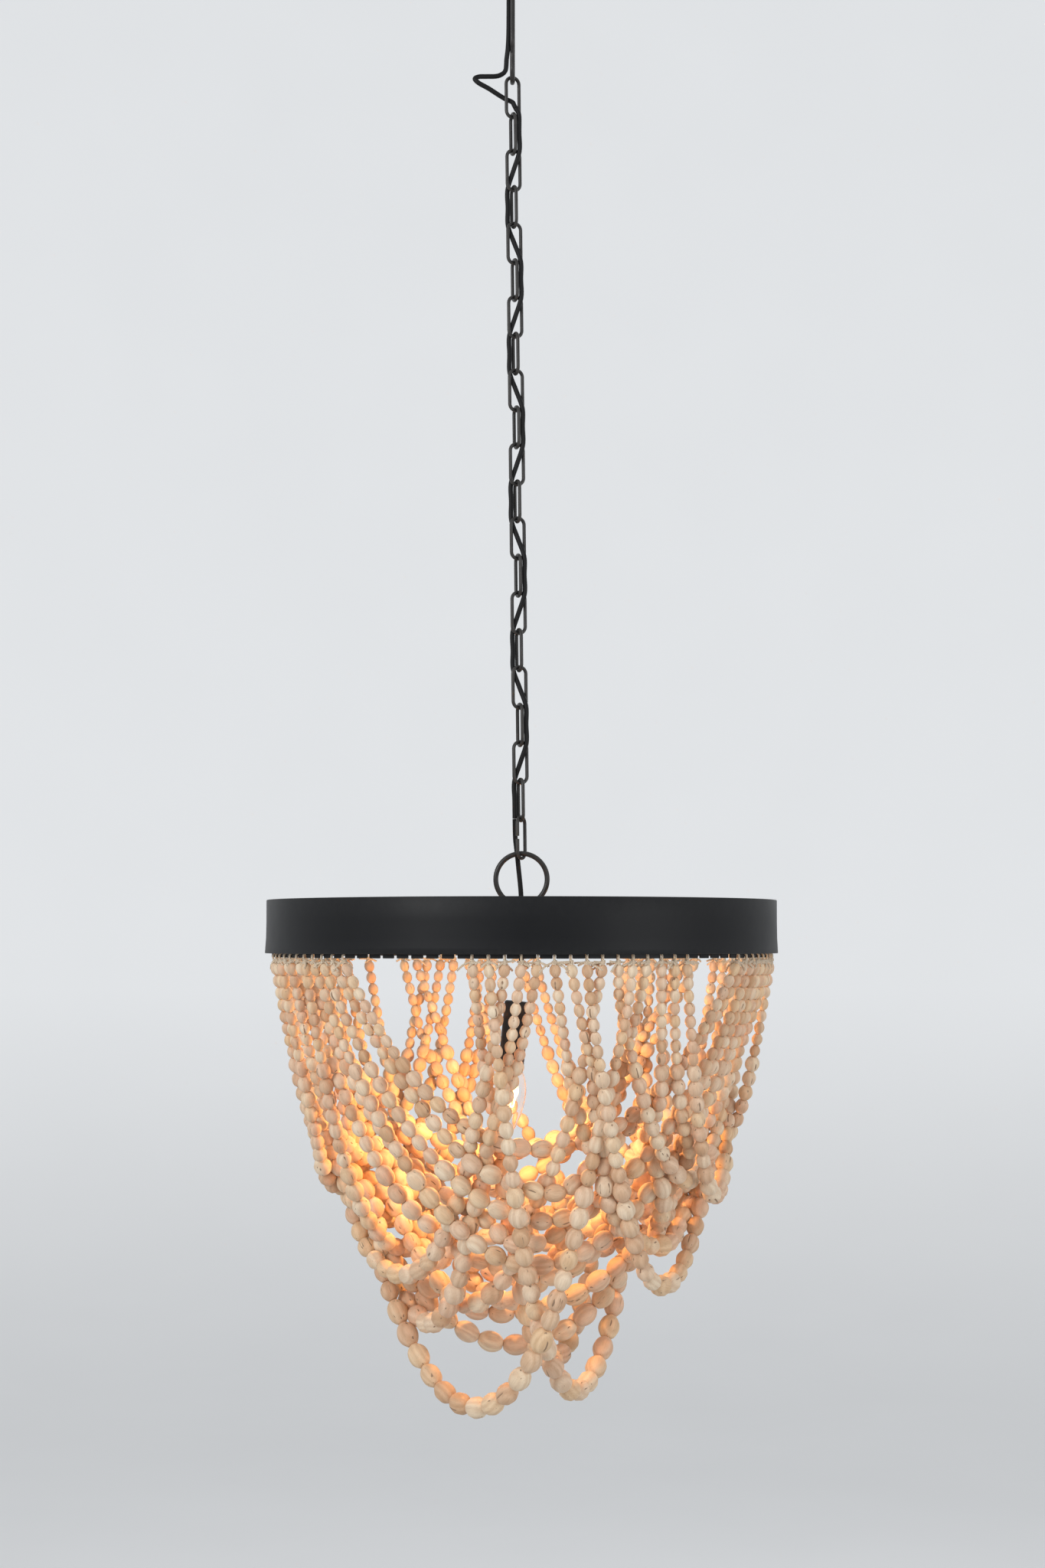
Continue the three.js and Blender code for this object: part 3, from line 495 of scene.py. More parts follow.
def threaded_forms_tree():
    """A form on every point, along the point's own direction and size, each a little different."""
    tree, given, out = geometry_tree("threaded forms", {
        "Form": ("NodeSocketObject", None), "Roll": ("NodeSocketFloat", 0.0),
        "Width Spread": ("NodeSocketFloat", 0.0), "Seed": ("NodeSocketInt", 0),
        "Finish": ("NodeSocketMaterial", None),
    })

    def named(name):
        return add(
            tree, "GeometryNodeInputNamedAttribute", {"data_type": "FLOAT_VECTOR"}, {"Name": name},
        ).outputs["Attribute"]

    def drawn(kind, low, high, offset):
        first, second, result = (2, 3, 1) if kind == "FLOAT" else (0, 1, 0)
        return add(tree, "FunctionNodeRandomValue", {"data_type": kind}, {
            first: low, second: high, "Seed": math_node(tree, "ADD", given["Seed"], offset),
        }).outputs[result]

    def stored(geometry, kind, domain, name, value):
        return add(tree, "GeometryNodeStoreNamedAttribute", {"data_type": kind, "domain": domain}, {
            "Geometry": geometry, "Name": name, "Value": value,
        }).outputs["Geometry"]

    stand = add(tree, "FunctionNodeAlignRotationToVector", {"axis": "Z"}, {"Vector": named("along")})
    faced = add(tree, "FunctionNodeAlignRotationToVector", {"axis": "X", "pivot_axis": "Z"}, {
        "Rotation": stand.outputs[0], "Vector": named("across"),
    })
    spin = add(tree, "FunctionNodeAxisAngleToRotation", inputs={
        "Axis": (0, 0, 1),
        "Angle": drawn("FLOAT", math_node(tree, "MULTIPLY", given["Roll"], -1.0), given["Roll"], 1),
    })
    rolled = add(tree, "FunctionNodeRotateRotation", {"rotation_space": "LOCAL"}, {
        "Rotation": faced.outputs[0], "Rotate By": spin.outputs[0],
    })
    wide = drawn(
        "FLOAT", math_node(tree, "SUBTRACT", 1.0, given["Width Spread"]),
        math_node(tree, "ADD", 1.0, given["Width Spread"]), 2,
    )
    spread = add(tree, "ShaderNodeCombineXYZ", inputs={0: wide, 1: wide, 2: 1.0}).outputs[0]
    size = vector_node(tree, "MULTIPLY", named("size"), spread)
    form = add(tree, "GeometryNodeObjectInfo", {"transform_space": "ORIGINAL"}, {"Object": given["Form"]})
    many = add(tree, "GeometryNodeInstanceOnPoints", inputs={
        "Points": given["Geometry"], "Instance": form.outputs["Geometry"],
        "Rotation": rolled.outputs[0], "Scale": size,
    }).outputs["Instances"]
    toned = stored(many, "FLOAT", "INSTANCE", "tone", drawn("FLOAT", 0.0, 1.0, 3))
    shift = drawn("FLOAT_VECTOR", (-1, -1, -1), (1, 1, 1), 4)
    shifted = stored(toned, "FLOAT_VECTOR", "INSTANCE", "shift", shift)
    whole = add(tree, "GeometryNodeRealizeInstances", inputs={"Geometry": shifted}).outputs["Geometry"]
    grown = vector_node(tree, "MULTIPLY", named("form_place"), named("size"))
    place = vector_node(tree, "ADD", grown, named("shift"))
    forms = stored(whole, "FLOAT_VECTOR", "POINT", "place", place)
    for name in ("shift", "along", "across", "size", "form_place"):
        forms = add(tree, "GeometryNodeRemoveAttribute", inputs={
            "Geometry": forms, "Name": name,
        }).outputs["Geometry"]
    feed(tree, out, Geometry=painted(tree, forms, given["Finish"]))
    return tree


round_wire = round_wire_tree()
threaded_forms = threaded_forms_tree()


def wires(name, lines, radius, finish, sides=12, is_loop=False, shares=None):
    """Round wires along several lines of points, as one piece."""
    points, edges, thick = [], [], []
    for index, line in enumerate(lines):
        first = len(points)
        points.extend(line)
        edges.extend((first + i, first + i + 1) for i in range(len(line) - 1))
        if is_loop:
            edges.append((first + len(line) - 1, first))
        thick.extend(shares[index] if shares is not None else [1.0] * len(line))
    mesh = mesh_from(name, points, edges=edges)
    mesh.attributes.new("thickness", "FLOAT", "POINT").data.foreach_set("value", thick)
    made = shaped(new_object(name, mesh), round_wire, Radius=radius, Sides=sides, Finish=finish)
    smooth(made.data, 50)
    return made


def forms_at(name, form, places, along, across, sizes, finish, seed=0, roll=0.0, spread=0.0):
    """The form's copies at the places, as one piece."""
    mesh = mesh_from(name, places)
    for key, values in (("along", along), ("across", across), ("size", sizes)):
        store = mesh.attributes.new(key, "FLOAT_VECTOR", "POINT")
        store.data.foreach_set("vector", np.asarray(values, np.float32).ravel())
    return shaped(
        new_object(name, mesh), threaded_forms,
        Form=form, Roll=roll, Width_Spread=spread, Seed=seed, Finish=finish,
    )


def form_object(made):
    """Keeps a form's own place in its mesh, for its grain, and takes it out of the scene."""
    count = len(made.data.vertices)
    spots = np.zeros(count * 3, np.float32)
    made.data.vertices.foreach_get("co", spots)
    made.data.attributes.new("form_place", "FLOAT_VECTOR", "POINT").data.foreach_set("vector", spots)
    scene.collection.objects.unlink(made)
    return made


def line_rings(node, sides, start):
    """The rings of points of a swept CAD solid, from the ring round start to the other end."""
    mesh = nodes[node].data
    spots = np.array([v.co for v in mesh.vertices], float)
    merged, index = np.unique(np.round(spots, 6), axis=0, return_inverse=True)
    index = index.ravel()
    beside = [set() for _ in merged]
    for face in mesh.polygons:
        corners = [index[v] for v in face.vertices]
        for corner in corners:
            beside[corner].update(corners)
    ring = list(np.argsort(np.linalg.norm(merged - np.array(start), axis=1))[:sides])
    seen, rings = set(ring), []
    while ring:
        rings.append(merged[ring])
        ring = sorted({n for v in ring for n in beside[v]} - seen)
        seen.update(ring)
    return rings


# Bead strands

rail_radius = 242.5 * mm
rail_drop = 3.8 * mm
knot_drop = 5 * mm
rail_holes = 104
bead_kinds = ((9.5, 12.3, 8), (13, 16, 7), (16.5, 20.5, 7), (19, 25.5, 99))
facet_share = 1.12
probe_shares = ((0.0, 0.5), (0.25, 0.80), (0.5, 1.0), (0.75, 0.80))

# The rows that fill the swags between the frame's own strands: two rail holes and the sag in mm,
# and how far back a row is tucked so that it hangs behind the front swags
fuller_rows = (
    (65, 95, 218), (61, 97, 270), (59, 99, 305),
    (31, 58, 259), (28, 57, 285), (33, 56, 232),
    (81, 113, 300), (80, 114, 268), (89, 111, 240),
    (102, 129, 215), (103, 130, 240), (101, 138, 285), (104, 139, 312),
    (12, 47, 215), (13, 46, 250), (14, 45, 300),
    (4, 50, 381), (3, 48, 336),
    (41, 78, 365, 55), (43, 79, 300, 55), (44, 77, 335, 55),
    (87, 119, 300), (88, 121, 268), (75, 122, 400, 60), (38, 86, 345, 40),
)


def rail_place(hole, height=0.0):
    angle = full_turn * hole / rail_holes
    spot = Vector((rail_radius * math.cos(angle), rail_radius * math.sin(angle), height))
    return np.array(hoop_place + spot)


def frame_strand(node):
    """Joints between the beads of one of the frame's strands, and its beads' widths."""
    spots = np.array([v.co for v in nodes[node].data.vertices], float)
    top = spots[spots[:, 2].argmax()]
    near = spots[np.linalg.norm(spots - top, axis=1) < 3 * mm]
    start = near[near[:, 2] > top[2] - 1e-5].mean(axis=0)
    rings = line_rings(node, 4, start)
    count = (len(rings) - 5) // 2
    joints = np.array([rings[2 + 2 * i].mean(axis=0) for i in range(count + 1)])
    widths = [
        2 * np.linalg.norm(rings[3 + 2 * i] - rings[3 + 2 * i].mean(axis=0), axis=1).mean() / facet_share
        for i in range(count)
    ]
    return joints, np.array(widths)


def graded_beads(length):
    """Widths and lengths of a strand's beads, small at both ends, until they fill its length."""
    half = [(w * mm, l * mm) for w, l, count in bead_kinds for _ in range(count)]
    beads, left = [], length
    while left > 2 * half[len(beads)][1]:
        left -= 2 * half[len(beads)][1]
        beads.append(half[len(beads)])
    middle = [half[len(beads)]] if left > half[len(beads)][1] / 2 else []
    return np.array(beads + middle + beads[::-1])


def hanging_row(first, last, sag, tuck=0):
    """A first guess of a row: a hanging line cut into beads."""
    height = -rail_drop - knot_drop
    start, end = rail_place(first, height), rail_place(last, height)
    share = np.linspace(0, 1, 401)[:, None]
    line = start + (end - start) * share
    drop = (4 * share * (1 - share))[:, 0]
    line[:, 2] -= (sag * mm + height) * drop
    line[:, 1] += tuck * mm * drop
    reach = np.concatenate([[0], np.cumsum(np.linalg.norm(np.diff(line, axis=0), axis=1))])
    beads = graded_beads(reach[-1])
    cuts = np.concatenate([[0], np.cumsum(beads[:, 1])]) * reach[-1] / beads[:, 1].sum()
    joints = np.column_stack([np.interp(cuts, reach, line[:, axis]) for axis in range(3)])
    return joints, beads


def settle_rows(rows, still, still_reach, rounds=200):
    """Lets the rows hang under their weight, keeps each bead's length, and pushes beads apart."""
    fall, play, search, search_every = 0.06 * mm, 0.2 * mm, 5 * mm, 8
    count = len(rows)
    longest = max(len(beads) for _, beads in rows)
    joints = np.zeros((count, longest + 1, 3))
    lengths = np.ones((count, longest))
    widths = np.zeros((count, longest))
    live = np.zeros((count, longest), bool)
    for i, (line, beads) in enumerate(rows):
        joints[i, :len(line)] = line
        joints[i, len(line):] = line[-1]
        lengths[i, :len(beads)] = beads[:, 1]
        widths[i, :len(beads)] = beads[:, 0]
        live[i, :len(beads)] = True
    last = live.sum(axis=1)
    order = np.arange(longest)[None, :]
    near_moves = live & (order > 0)
    far_moves = live & (order < last[:, None] - 1)
    both = near_moves & far_moves
    near_share, far_share = (moves * np.where(both, 0.5, 1.0) for moves in (near_moves, far_moves))
    hanging = np.zeros((count, longest + 1), bool)
    hanging[:, :-1] = near_moves
    row, bead = (np.repeat(index, len(probe_shares)) for index in np.nonzero(live))
    along, share = np.tile(probe_shares, (live.sum(), 1)).T
    reach = widths[row, bead] / 2 * share
    all_reach = np.concatenate([reach, still_reach])
    owner = np.concatenate([row, -np.ones(len(still), int)])
    first = second = None
    for turn in range(rounds):
        if turn < rounds * 0.8:
            joints[hanging, 2] -= fall
        probes = joints[row, bead] * (1 - along)[:, None] + joints[row, bead + 1] * along[:, None]
        everything = np.vstack([probes, still])
        if turn % search_every == 0:
            square = (everything ** 2).sum(axis=1)
            gap = square[:len(probes), None] + square[None, :] - 2 * probes @ everything.T
            least = reach[:, None] + all_reach[None, :] + search
            first, second = np.nonzero(gap < least ** 2)
            keep = (owner[second] != row[first]) & ((second >= len(probes)) | (second > first))
            first, second = first[keep], second[keep]
        step = everything[first] - everything[second]
        space = np.linalg.norm(step, axis=1)
        short = reach[first] + all_reach[second] + play - space
        close = short > 0
        a, b = first[close], second[close]
        push = step[close] / np.maximum(space[close], 1e-9)[:, None] * short[close][:, None]
        loose = b < len(probes)
        push *= np.where(loose, 0.4, 0.8)[:, None]
        for p, amount in ((a, push), (b[loose], -push[loose])):
            np.add.at(joints, (row[p], bead[p]), amount * ((1 - along[p]) * (bead[p] > 0))[:, None])
            np.add.at(
                joints, (row[p], bead[p] + 1),
                amount * (along[p] * (bead[p] + 1 < last[row[p]]))[:, None],
            )
        for _ in range(8):
            for parity in (0, 1):
                spot = slice(parity, longest, 2)
                step = joints[:, 1:][:, spot] - joints[:, :-1][:, spot]
                space = np.maximum(np.linalg.norm(step, axis=2), 1e-9)
                excess = (1 - lengths[:, spot] / space)[:, :, None] * step
                joints[:, :-1][:, spot] += excess * near_share[:, spot, None]
                joints[:, 1:][:, spot] -= excess * far_share[:, spot, None]
    return [(joints[i, :n + 1].copy(), widths[i, :n]) for i, n in enumerate(last)]


strand_nodes = sorted(name for name in nodes if name.startswith("strand_"))
frame_strands = {name: frame_strand(name) for name in strand_nodes}


def probe_cloud():
    """Points and reaches of what the fuller rows keep clear of: the frame's strands and the lamp."""
    spots, reaches = [], []
    for joints, widths in frame_strands.values():
        for along, share in probe_shares:
            spots.append(joints[:-1] * (1 - along) + joints[1:] * along)
            reaches.append(widths / 2 * share)
    lamp_spots = np.array([in_lamp @ Vector((0, 0, -step * 5 * mm)) for step in range(32)])
    spots.append(lamp_spots)
    reaches.append(np.full(len(lamp_spots), 22 * mm))
    return np.vstack(spots), np.concatenate(reaches)


still_spots, still_reaches = probe_cloud()
settled_rows = settle_rows([hanging_row(*row) for row in fuller_rows], still_spots, still_reaches)


def bead_form():
    """A barrel bead, one unit wide and one long, with rims drawn in at both ends."""
    half = (
        (0.05, 0.5), (0.16, 0.479), (0.26, 0.436), (0.35, 0.37), (0.43, 0.29), (0.485, 0.215), (0.5, 0.15),
    )
    profile = [(-height, reach) for height, reach in reversed(half)] + list(half)
    sides = 12
    points, faces = [], []
    for height, reach in profile:
        for side in range(sides):
            angle = full_turn * side / sides
            points.append((reach * math.cos(angle), reach * math.sin(angle), height))
    for low in range(0, (len(profile) - 1) * sides, sides):
        for side in range(sides):
            up = (side + 1) % sides
            faces.append((low + side, low + up, low + sides + up, low + sides + side))
    faces.append(tuple(reversed(range(sides))))
    faces.append(tuple(range((len(profile) - 1) * sides, len(profile) * sides)))
    mesh = mesh_from("bead form", points, faces=faces)
    smooth(mesh, 58)
    return form_object(new_object("bead form", mesh))


bead = bead_form()
bead_plumpness = 1.07
bead_share = 0.99
width_spread = 0.045
seed_step = 11
first_row_seed = 500


def bead_piece(name, joints, widths, seed, *replaced):
    """One strand's beads between its joints, drawn a little plumper than the CAD's."""
    step = np.diff(joints, axis=0)
    length = np.linalg.norm(step, axis=1)
    along = step / length[:, None]
    across = np.cross(along, (0.31, 0.52, 0.79))
    across /= np.linalg.norm(across, axis=1)[:, None]
    plump = widths * bead_plumpness
    sizes = np.column_stack([plump, plump, length * bead_share])
    made = forms_at(
        name, bead, (joints[1:] + joints[:-1]) / 2, along, across, sizes, wood,
        seed=seed, roll=math.pi, spread=width_spread,
    )
    settle_piece(made, "hoop", None, *replaced, slot="wood_bead")


for index, (node, strand) in enumerate(frame_strands.items()):
    bead_piece(node + "_beads", *strand, seed_step * index, node)
for index, strand in enumerate(settled_rows):
    bead_piece(f"fuller_row_{index + 1:02d}_beads", *strand, first_row_seed + seed_step * index)


# Twine: through every strand, round the rail, knotted, with frayed tails

def twine_pieces():
    draw = np.random.default_rng(seed=7)
    string_lines = [joints for joints, _ in (*frame_strands.values(), *settled_rows)]
    strings = wires("strand_strings", string_lines, 0.9 * mm, twine, 6)
    settle_piece(strings, "hoop", None, slot="wood_bead")
    lines, shares = [], []
    centre = np.array(hoop_place)
    for joints in string_lines:
        for end in (joints[0], joints[-1]):
            out = np.array([end[0] - centre[0], end[1] - centre[1], 0])
            out /= np.linalg.norm(out)
            side = np.array([-out[1], out[0], 0])
            up = np.array([0, 0, 1.0])
            foot = centre + out * rail_radius

            def spot(outward, sideways, height):
                return foot + (out * outward + side * sideways + up * height) * mm

            loop = curve_through([
                spot(0, 0, -8.6), spot(-1.9, 0.2, -5.0), spot(-1.9, 0.1, -1.2), spot(0, 0, 0.1),
                spot(1.9, -0.1, -1.2), spot(1.9, -0.2, -5.0), spot(0.2, 0, -8.4),
            ], 4)
            lines.append(loop)
            shares.append([0.85] * len(loop))
            lean = draw.uniform(-0.5, 0.5)
            knot = [
                spot(1.75 * math.cos(a) + lean * math.sin(a), 1.75 * math.sin(a), -5.6 - 1.5 * a / full_turn)
                for a in np.linspace(0, 2.1 * full_turn, 26)
            ]
            lines.append(np.array(knot))
            shares.append([1.0] * len(knot))
            for _ in range(5):
                turn = draw.uniform(0, full_turn)
                length = draw.uniform(7, 15)
                fall = draw.uniform(-0.75, 0.15)
                reach = (min(2.4, length * math.cos(turn) * 0.8), length * math.sin(turn))
                bend = draw.uniform(-1.6, 1.6, 2)
                tail = curve_through([
                    spot(1.2 * math.cos(turn), 1.2 * math.sin(turn), -7.0),
                    spot(reach[0] * 0.5 + bend[0], reach[1] * 0.5 + bend[1], -7.0 + fall * length * 0.35),
                    spot(reach[0], reach[1], -7.0 + fall * length),
                ], 4)
                lines.append(tail)
                shares.append(np.linspace(0.72, 0.2, len(tail)))
    knots = wires("strand_knots", lines, mm, twine, 6, shares=shares)
    settle_piece(knots, "hoop", None, slot="wood_bead")


twine_pieces()


# Hoop

def band_piece():
    profile = [
        (247.2, 0.35), (247.5, 0.0), (249.6, 0.0), (250.0, 0.4), (249.75, 6), (249.35, 15.0),
        (249.2, 30.0), (249.25, 50.8), (248.95, 51.35), (248.5, 51.5), (247.6, 51.5), (247.2, 51.1),
    ]
    made = turned("hoop_band", profile, in_hoop, 256, sharp=60)
    low = hoop_place.z
    for vertex in made.data.vertices:
        flat = Vector((vertex.co.x - hoop_place.x, vertex.co.y - hoop_place.y))
        angle = math.atan2(flat.y, flat.x)
        swell = 0.18 * mm * math.sin(3 * angle + 0.7) + 0.12 * mm * math.sin(7 * angle + 2.1) - 0.3 * mm
        share = 1 + swell / flat.length * min(1.0, (vertex.co.z - low) / (20 * mm))
        vertex.co.x = hoop_place.x + flat.x * share
        vertex.co.y = hoop_place.y + flat.y * share
    settle_piece(made, "hoop", band_black, "band", slot="black_metal")


def rail_pieces():
    strip = turned("rail_strip", [
        (241.7, 1.0), (243.3, 1.0), (243.3, 8.6), (246.9, 8.6), (246.9, 10.2), (241.7, 10.2),
    ], in_hoop, 2 * rail_holes)
    settle_piece(strip, "hoop", band_black, "bead_rail", slot="black_metal")
    block = bpy.data.meshes.new("tooth form")
    work = bmesh.new()
    bmesh.ops.create_cube(work, size=1)
    bmesh.ops.bevel(work, geom=work.edges[:], offset=0.06, segments=1, affect="EDGES")
    work.to_mesh(block)
    work.free()
    tooth = form_object(new_object("tooth form", block))
    spots, outward = [], []
    for hole in range(rail_holes):
        spot = rail_place(hole + 0.5, -1.3 * mm)
        out = spot - np.array(hoop_place)
        out[2] = 0
        spots.append(spot)
        outward.append(out / np.linalg.norm(out))
    teeth = forms_at(
        "rail_teeth", tooth, spots, [(0, 0, 1)] * rail_holes, outward,
        [(1.6 * mm, 11.4 * mm, 5 * mm)] * rail_holes, band_black,
    )
    settle_piece(teeth, "hoop", None, slot="black_metal")


def eased_copy(node, body, finish, slot, width=0.4 * mm):
    """A CAD node's own shape with its edges eased."""
    mesh = nodes[node].data.copy()
    work = bmesh.new()
    work.from_mesh(mesh)
    bmesh.ops.remove_doubles(work, verts=work.verts, dist=1e-6)
    bmesh.ops.dissolve_limit(work, angle_limit=math.radians(1), verts=work.verts, edges=work.edges)
    sharp = [e for e in work.edges if len(e.link_faces) == 2 and e.calc_face_angle(0) > math.radians(25)]
    bmesh.ops.bevel(work, geom=sharp, offset=width, segments=2, affect="EDGES", clamp_overlap=True)
    work.to_mesh(mesh)
    work.free()
    made = new_object(node + "_eased", mesh)
    smooth(mesh, 30)
    settle_piece(made, body, finish, node, slot=slot)


band_piece()
rail_pieces()
for number in (1, 2, 3):
    eased_copy(f"spoke_{number}", "hoop", band_black, "black_metal")
eased_copy("hub_plate", "hoop", band_black, "black_metal", 0.6 * mm)

# Ring, eye, hook and chain

ring_height = 72.3
ring_circle = [
    in_hoop @ Vector((25.2 * mm * math.cos(a), 0, (ring_height + 25.2 * math.sin(a)) * mm))
    for a in np.linspace(0, full_turn, 72, endpoint=False)
]
settle_piece(
    wires("ring_wire", [ring_circle], 2.5 * mm, wire_black, 16, is_loop=True),
    "ring", None, "hanging_ring", slot="black_metal",
)

eye_bend = 5.5
eye_centre = 51.9 - eye_bend
eye_foot = 26.3
eye_line = [Vector((0, eye_bend, eye_foot))] + [
    Vector((0, eye_bend * math.cos(a), eye_centre + eye_bend * math.sin(a)))
    for a in np.linspace(0, math.pi, 17)
] + [Vector((0, -eye_bend, eye_foot))]
settle_piece(
    wires("eye_wire", [[in_hoop @ (p * mm) for p in eye_line]], 2 * mm, wire_black, 14),
    "hoop", None, "hanging_eye", slot="black_metal",
)

hook_bowl = 11.5
hook_low = -129 + hook_bowl
hook_line = [Vector((0, 0, z)) for z in (-5.3, -30, -60, -85)] + [
    Vector((0, hook_bowl * 0.3, -93.1)), Vector((0, hook_bowl * 0.9, -109.4)),
] + [
    Vector((0, hook_bowl * math.cos(a), hook_low - hook_bowl * math.sin(a)))
    for a in np.linspace(0, math.pi, 10)
] + [Vector((0, -hook_bowl, -104))]
hook_smooth = curve_through([p * mm for p in hook_line], 5)
settle_piece(
    wires("hook_wire", [hook_smooth], 2.5 * mm, wire_black, 16), "ceiling", None, "hook", slot="black_metal",
)
hook_tip = turned("hook_cut_tip", [(0, 0.12), (1.9, 0.12), (2.2, -0.1), (0, -0.1)],
                  Matrix.Translation((0, -hook_bowl * mm, -104 * mm)), 24)
settle_piece(hook_tip, "ceiling", bare_steel, slot="black_metal")
eased_copy("hook_nut", "ceiling", wire_black, "black_metal")


def link_line(gap):
    """Middle line of a chain link's wire, in mm, open on its left where it has a gap."""
    bend, straight = 6.75, 13.65

    def bow(height, start, stop):
        return [
            Vector((bend * math.cos(a), 0, height + bend * math.sin(a))) for a in np.linspace(start, stop, 13)
        ]

    lower, upper = bow(-straight, 0, -math.pi), bow(straight, math.pi, 0)
    if gap:
        return [Vector((-bend, 0, gap / 2))] + upper + lower + [Vector((-bend, 0, -gap / 2))]
    return lower + upper


link_count = 21
link_pitch = 37
first_link_drop = 15.85


def chain_pieces():
    closed, opened = (
        form_object(wires(name, [[p * mm for p in link_line(gap)]], 1.75 * mm, wire_black, is_loop=not gap))
        for name, gap in (("link form", 0), ("open link form", 3))
    )
    down = in_chain.to_3x3() @ Vector((0, 0, 1))

    def placed(numbers):
        spots, across = [], []
        for i in numbers:
            turn = math.radians(58) if i == link_count - 1 else math.radians(20) + (i % 2) * math.pi / 2
            spots.append(in_chain @ Vector((0, 0, (-first_link_drop - link_pitch * i) * mm)))
            across.append(in_chain.to_3x3() @ Vector((math.cos(turn), math.sin(turn), 0)))
        return spots, [down] * len(spots), across, [(1, 1, 1)] * len(spots)

    for name, body, form, numbers in (
        ("top_link", "first_link", closed, [0]),
        ("chain_links", "chain", closed, range(1, link_count - 1)),
        ("open_link", "chain", opened, [link_count - 1]),
    ):
        made = forms_at(name, form, *placed(numbers), wire_black)
        drawn = [f"chain_link_{i + 1:02d}" for i in numbers]
        settle_piece(made, body, None, *drawn, slot="chain_metal")


chain_pieces()

# Supply cord

cord_radius = 2.4 * mm
cord_starts = {
    "cord_from_ceiling": (-14.0, 14.0, -3.6), "cord_in_chain": (3.36, -1.42, -156.56),
    "cord_to_hoop": (2.47, 2.90, -866.66), "cord_to_lamp": (9.0, 12.8, -988.2),
}
cord_sides = 5
ceiling_line, chain_line, hoop_line, lamp_line = (
    np.array([ring.mean(axis=0) for ring in line_rings(name, cord_sides, np.array(start) * mm)])
    for name, start in cord_starts.items()
)


def flex_piece(name, line, node, upper, lower, blend_start=None, blend_end=None):
    """A length of the supply cord, held by one body when upper and lower are the same, and otherwise left on
    no body with its place fixed in its mesh.
    """
    steps = 6 if node == "cord_in_chain" else 3
    flex = wires(name, [curve_through(line, steps)], cord_radius, cord_black, 14)
    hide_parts(node)
    if upper == lower:
        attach(flex, upper)
    else:
        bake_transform(flex)


def spot_at(line, height):
    """The line's own point at a height in mm."""
    row = np.abs(line[:, 2] - height * mm).argmin()
    return tuple(float(x) for x in line[row])


flex_piece(
    "ceiling_flex", ceiling_line, "cord_from_ceiling", "ceiling", "first_link",
    (0, 0, -112 * mm), (0, 0, -150 * mm),
)
flex_piece(
    "chain_flex", chain_line, "cord_in_chain", "first_link", "chain",
    spot_at(chain_line, -157), spot_at(chain_line, -192),
)
ring_joint = -905.2
eye_joint = -950.8
meeting = int(np.abs(hoop_line[:, 2] - eye_joint * mm).argmin())
flex_piece(
    "ring_flex", hoop_line[:meeting + 1], "cord_to_hoop", "chain", "ring",
    spot_at(hoop_line, -868), spot_at(hoop_line, ring_joint),
)
flex_piece("hoop_flex", hoop_line[meeting:], "cord_to_hoop", "hoop", "hoop")
flex_piece(
    "lamp_flex", lamp_line, "cord_to_lamp", "hoop", "holder",
    spot_at(lamp_line, -988), spot_at(lamp_line, -1012),
)

# Ceiling fitting

settle_piece(turned("plate_dish", [
    (0, -3), (43.6, -3), (44, -3.4), (44, -14), (46, -14), (46, -0.4), (45.6, 0), (0, 0),
], Matrix.Identity(4), 96), "ceiling", band_black, "ceiling_plate", slot="black_metal")
canopy_outer = [(47.5, -0.3), (47.5, -16)] + [
    (47.5 * math.cos(a) ** 0.9, -16 - 16 * math.sin(a)) for a in np.linspace(0.12, 1.15, 12)
] + [(12.0, -31.7), (9.0, -32.0)]
canopy_inner = [(max(9.0, r - 1.2), min(-0.3, z + 1.2)) for r, z in canopy_outer[:0:-1]]
settle_piece(
    turned("canopy_shell", canopy_outer + canopy_inner + [(46.3, -0.3)], Matrix.Identity(4), 96, sharp=50),
    "ceiling", band_black, "canopy", slot="black_metal",
)
eased_copy("canopy_bush", "ceiling", moulded_black, "holder_plastic", 0.3 * mm)

# Hoop's cord grip, lamp holder and lamp

grip_place = in_hoop @ Matrix.Translation((0, 12.8 * mm, 0))
settle_piece(turned("hub_cord_grip", [
    (2.7, 10.5), (4.2, 10.5), (4.5, 10.9), (4.5, 19.5), (6.4, 19.5), (6.7, 19.8), (6.7, 21.4),
    (6.4, 21.7), (4.5, 21.7), (4.5, 25.7), (4.2, 26), (2.7, 26),
], grip_place, 48), "hoop", moulded_black, "cord_grip", slot="holder_plastic")
settle_piece(turned("lamp_holder_shell", [
    (4.8, -1.5), (11, -1.5), (11, -62), (12.2, -62), (12.5, -61.7), (12.5, -59.2), (12.25, -58.9),
    (12.25, -58.3), (12.5, -58.0), (12.5, -18.4), (12.3, -18.1), (12.3, -17.7), (12.5, -17.4),
    (12.5, -1.9), (12.1, -1.0), (11.3, -0.25), (10.6, 0), (4.8, 0),
], in_lamp, 96), "holder", moulded_black, "holder_shell", slot="holder_plastic")
settle_piece(turned("lamp_holder_grip", [
    (2.7, -4), (6.7, -4), (6.7, -1.8), (4.5, -1.8), (4.5, 4.1), (4.1, 4.5), (2.7, 4.5),
], in_lamp, 48), "holder", moulded_black, "holder_grip", slot="holder_plastic")
settle_piece(turned("lamp_socket_insert", [
    (0, -33), (7.2, -33), (7.2, -59), (10.4, -59), (10.7, -58.7), (10.7, -30.9), (10.4, -30.6),
    (0, -30.6),
], in_lamp, 64), "holder", ceramic, "lamp_socket", slot="socket_insert")
eased_copy("socket_contact", "holder", brass, "lamp_brass", 0.15 * mm)
eased_copy("lamp_contact", "contact", brass, "lamp_brass", 0.15 * mm)
cap_top, cap_low = -37.1, -57.1
cap_outer = [(6.55, z) for z in np.linspace(cap_low + 0.8, cap_top - 4.0, 40)]
cap_profile = [(0, cap_top), (3.6, cap_top), (4.2, cap_top - 0.5), (6.5, cap_top - 3.45)]
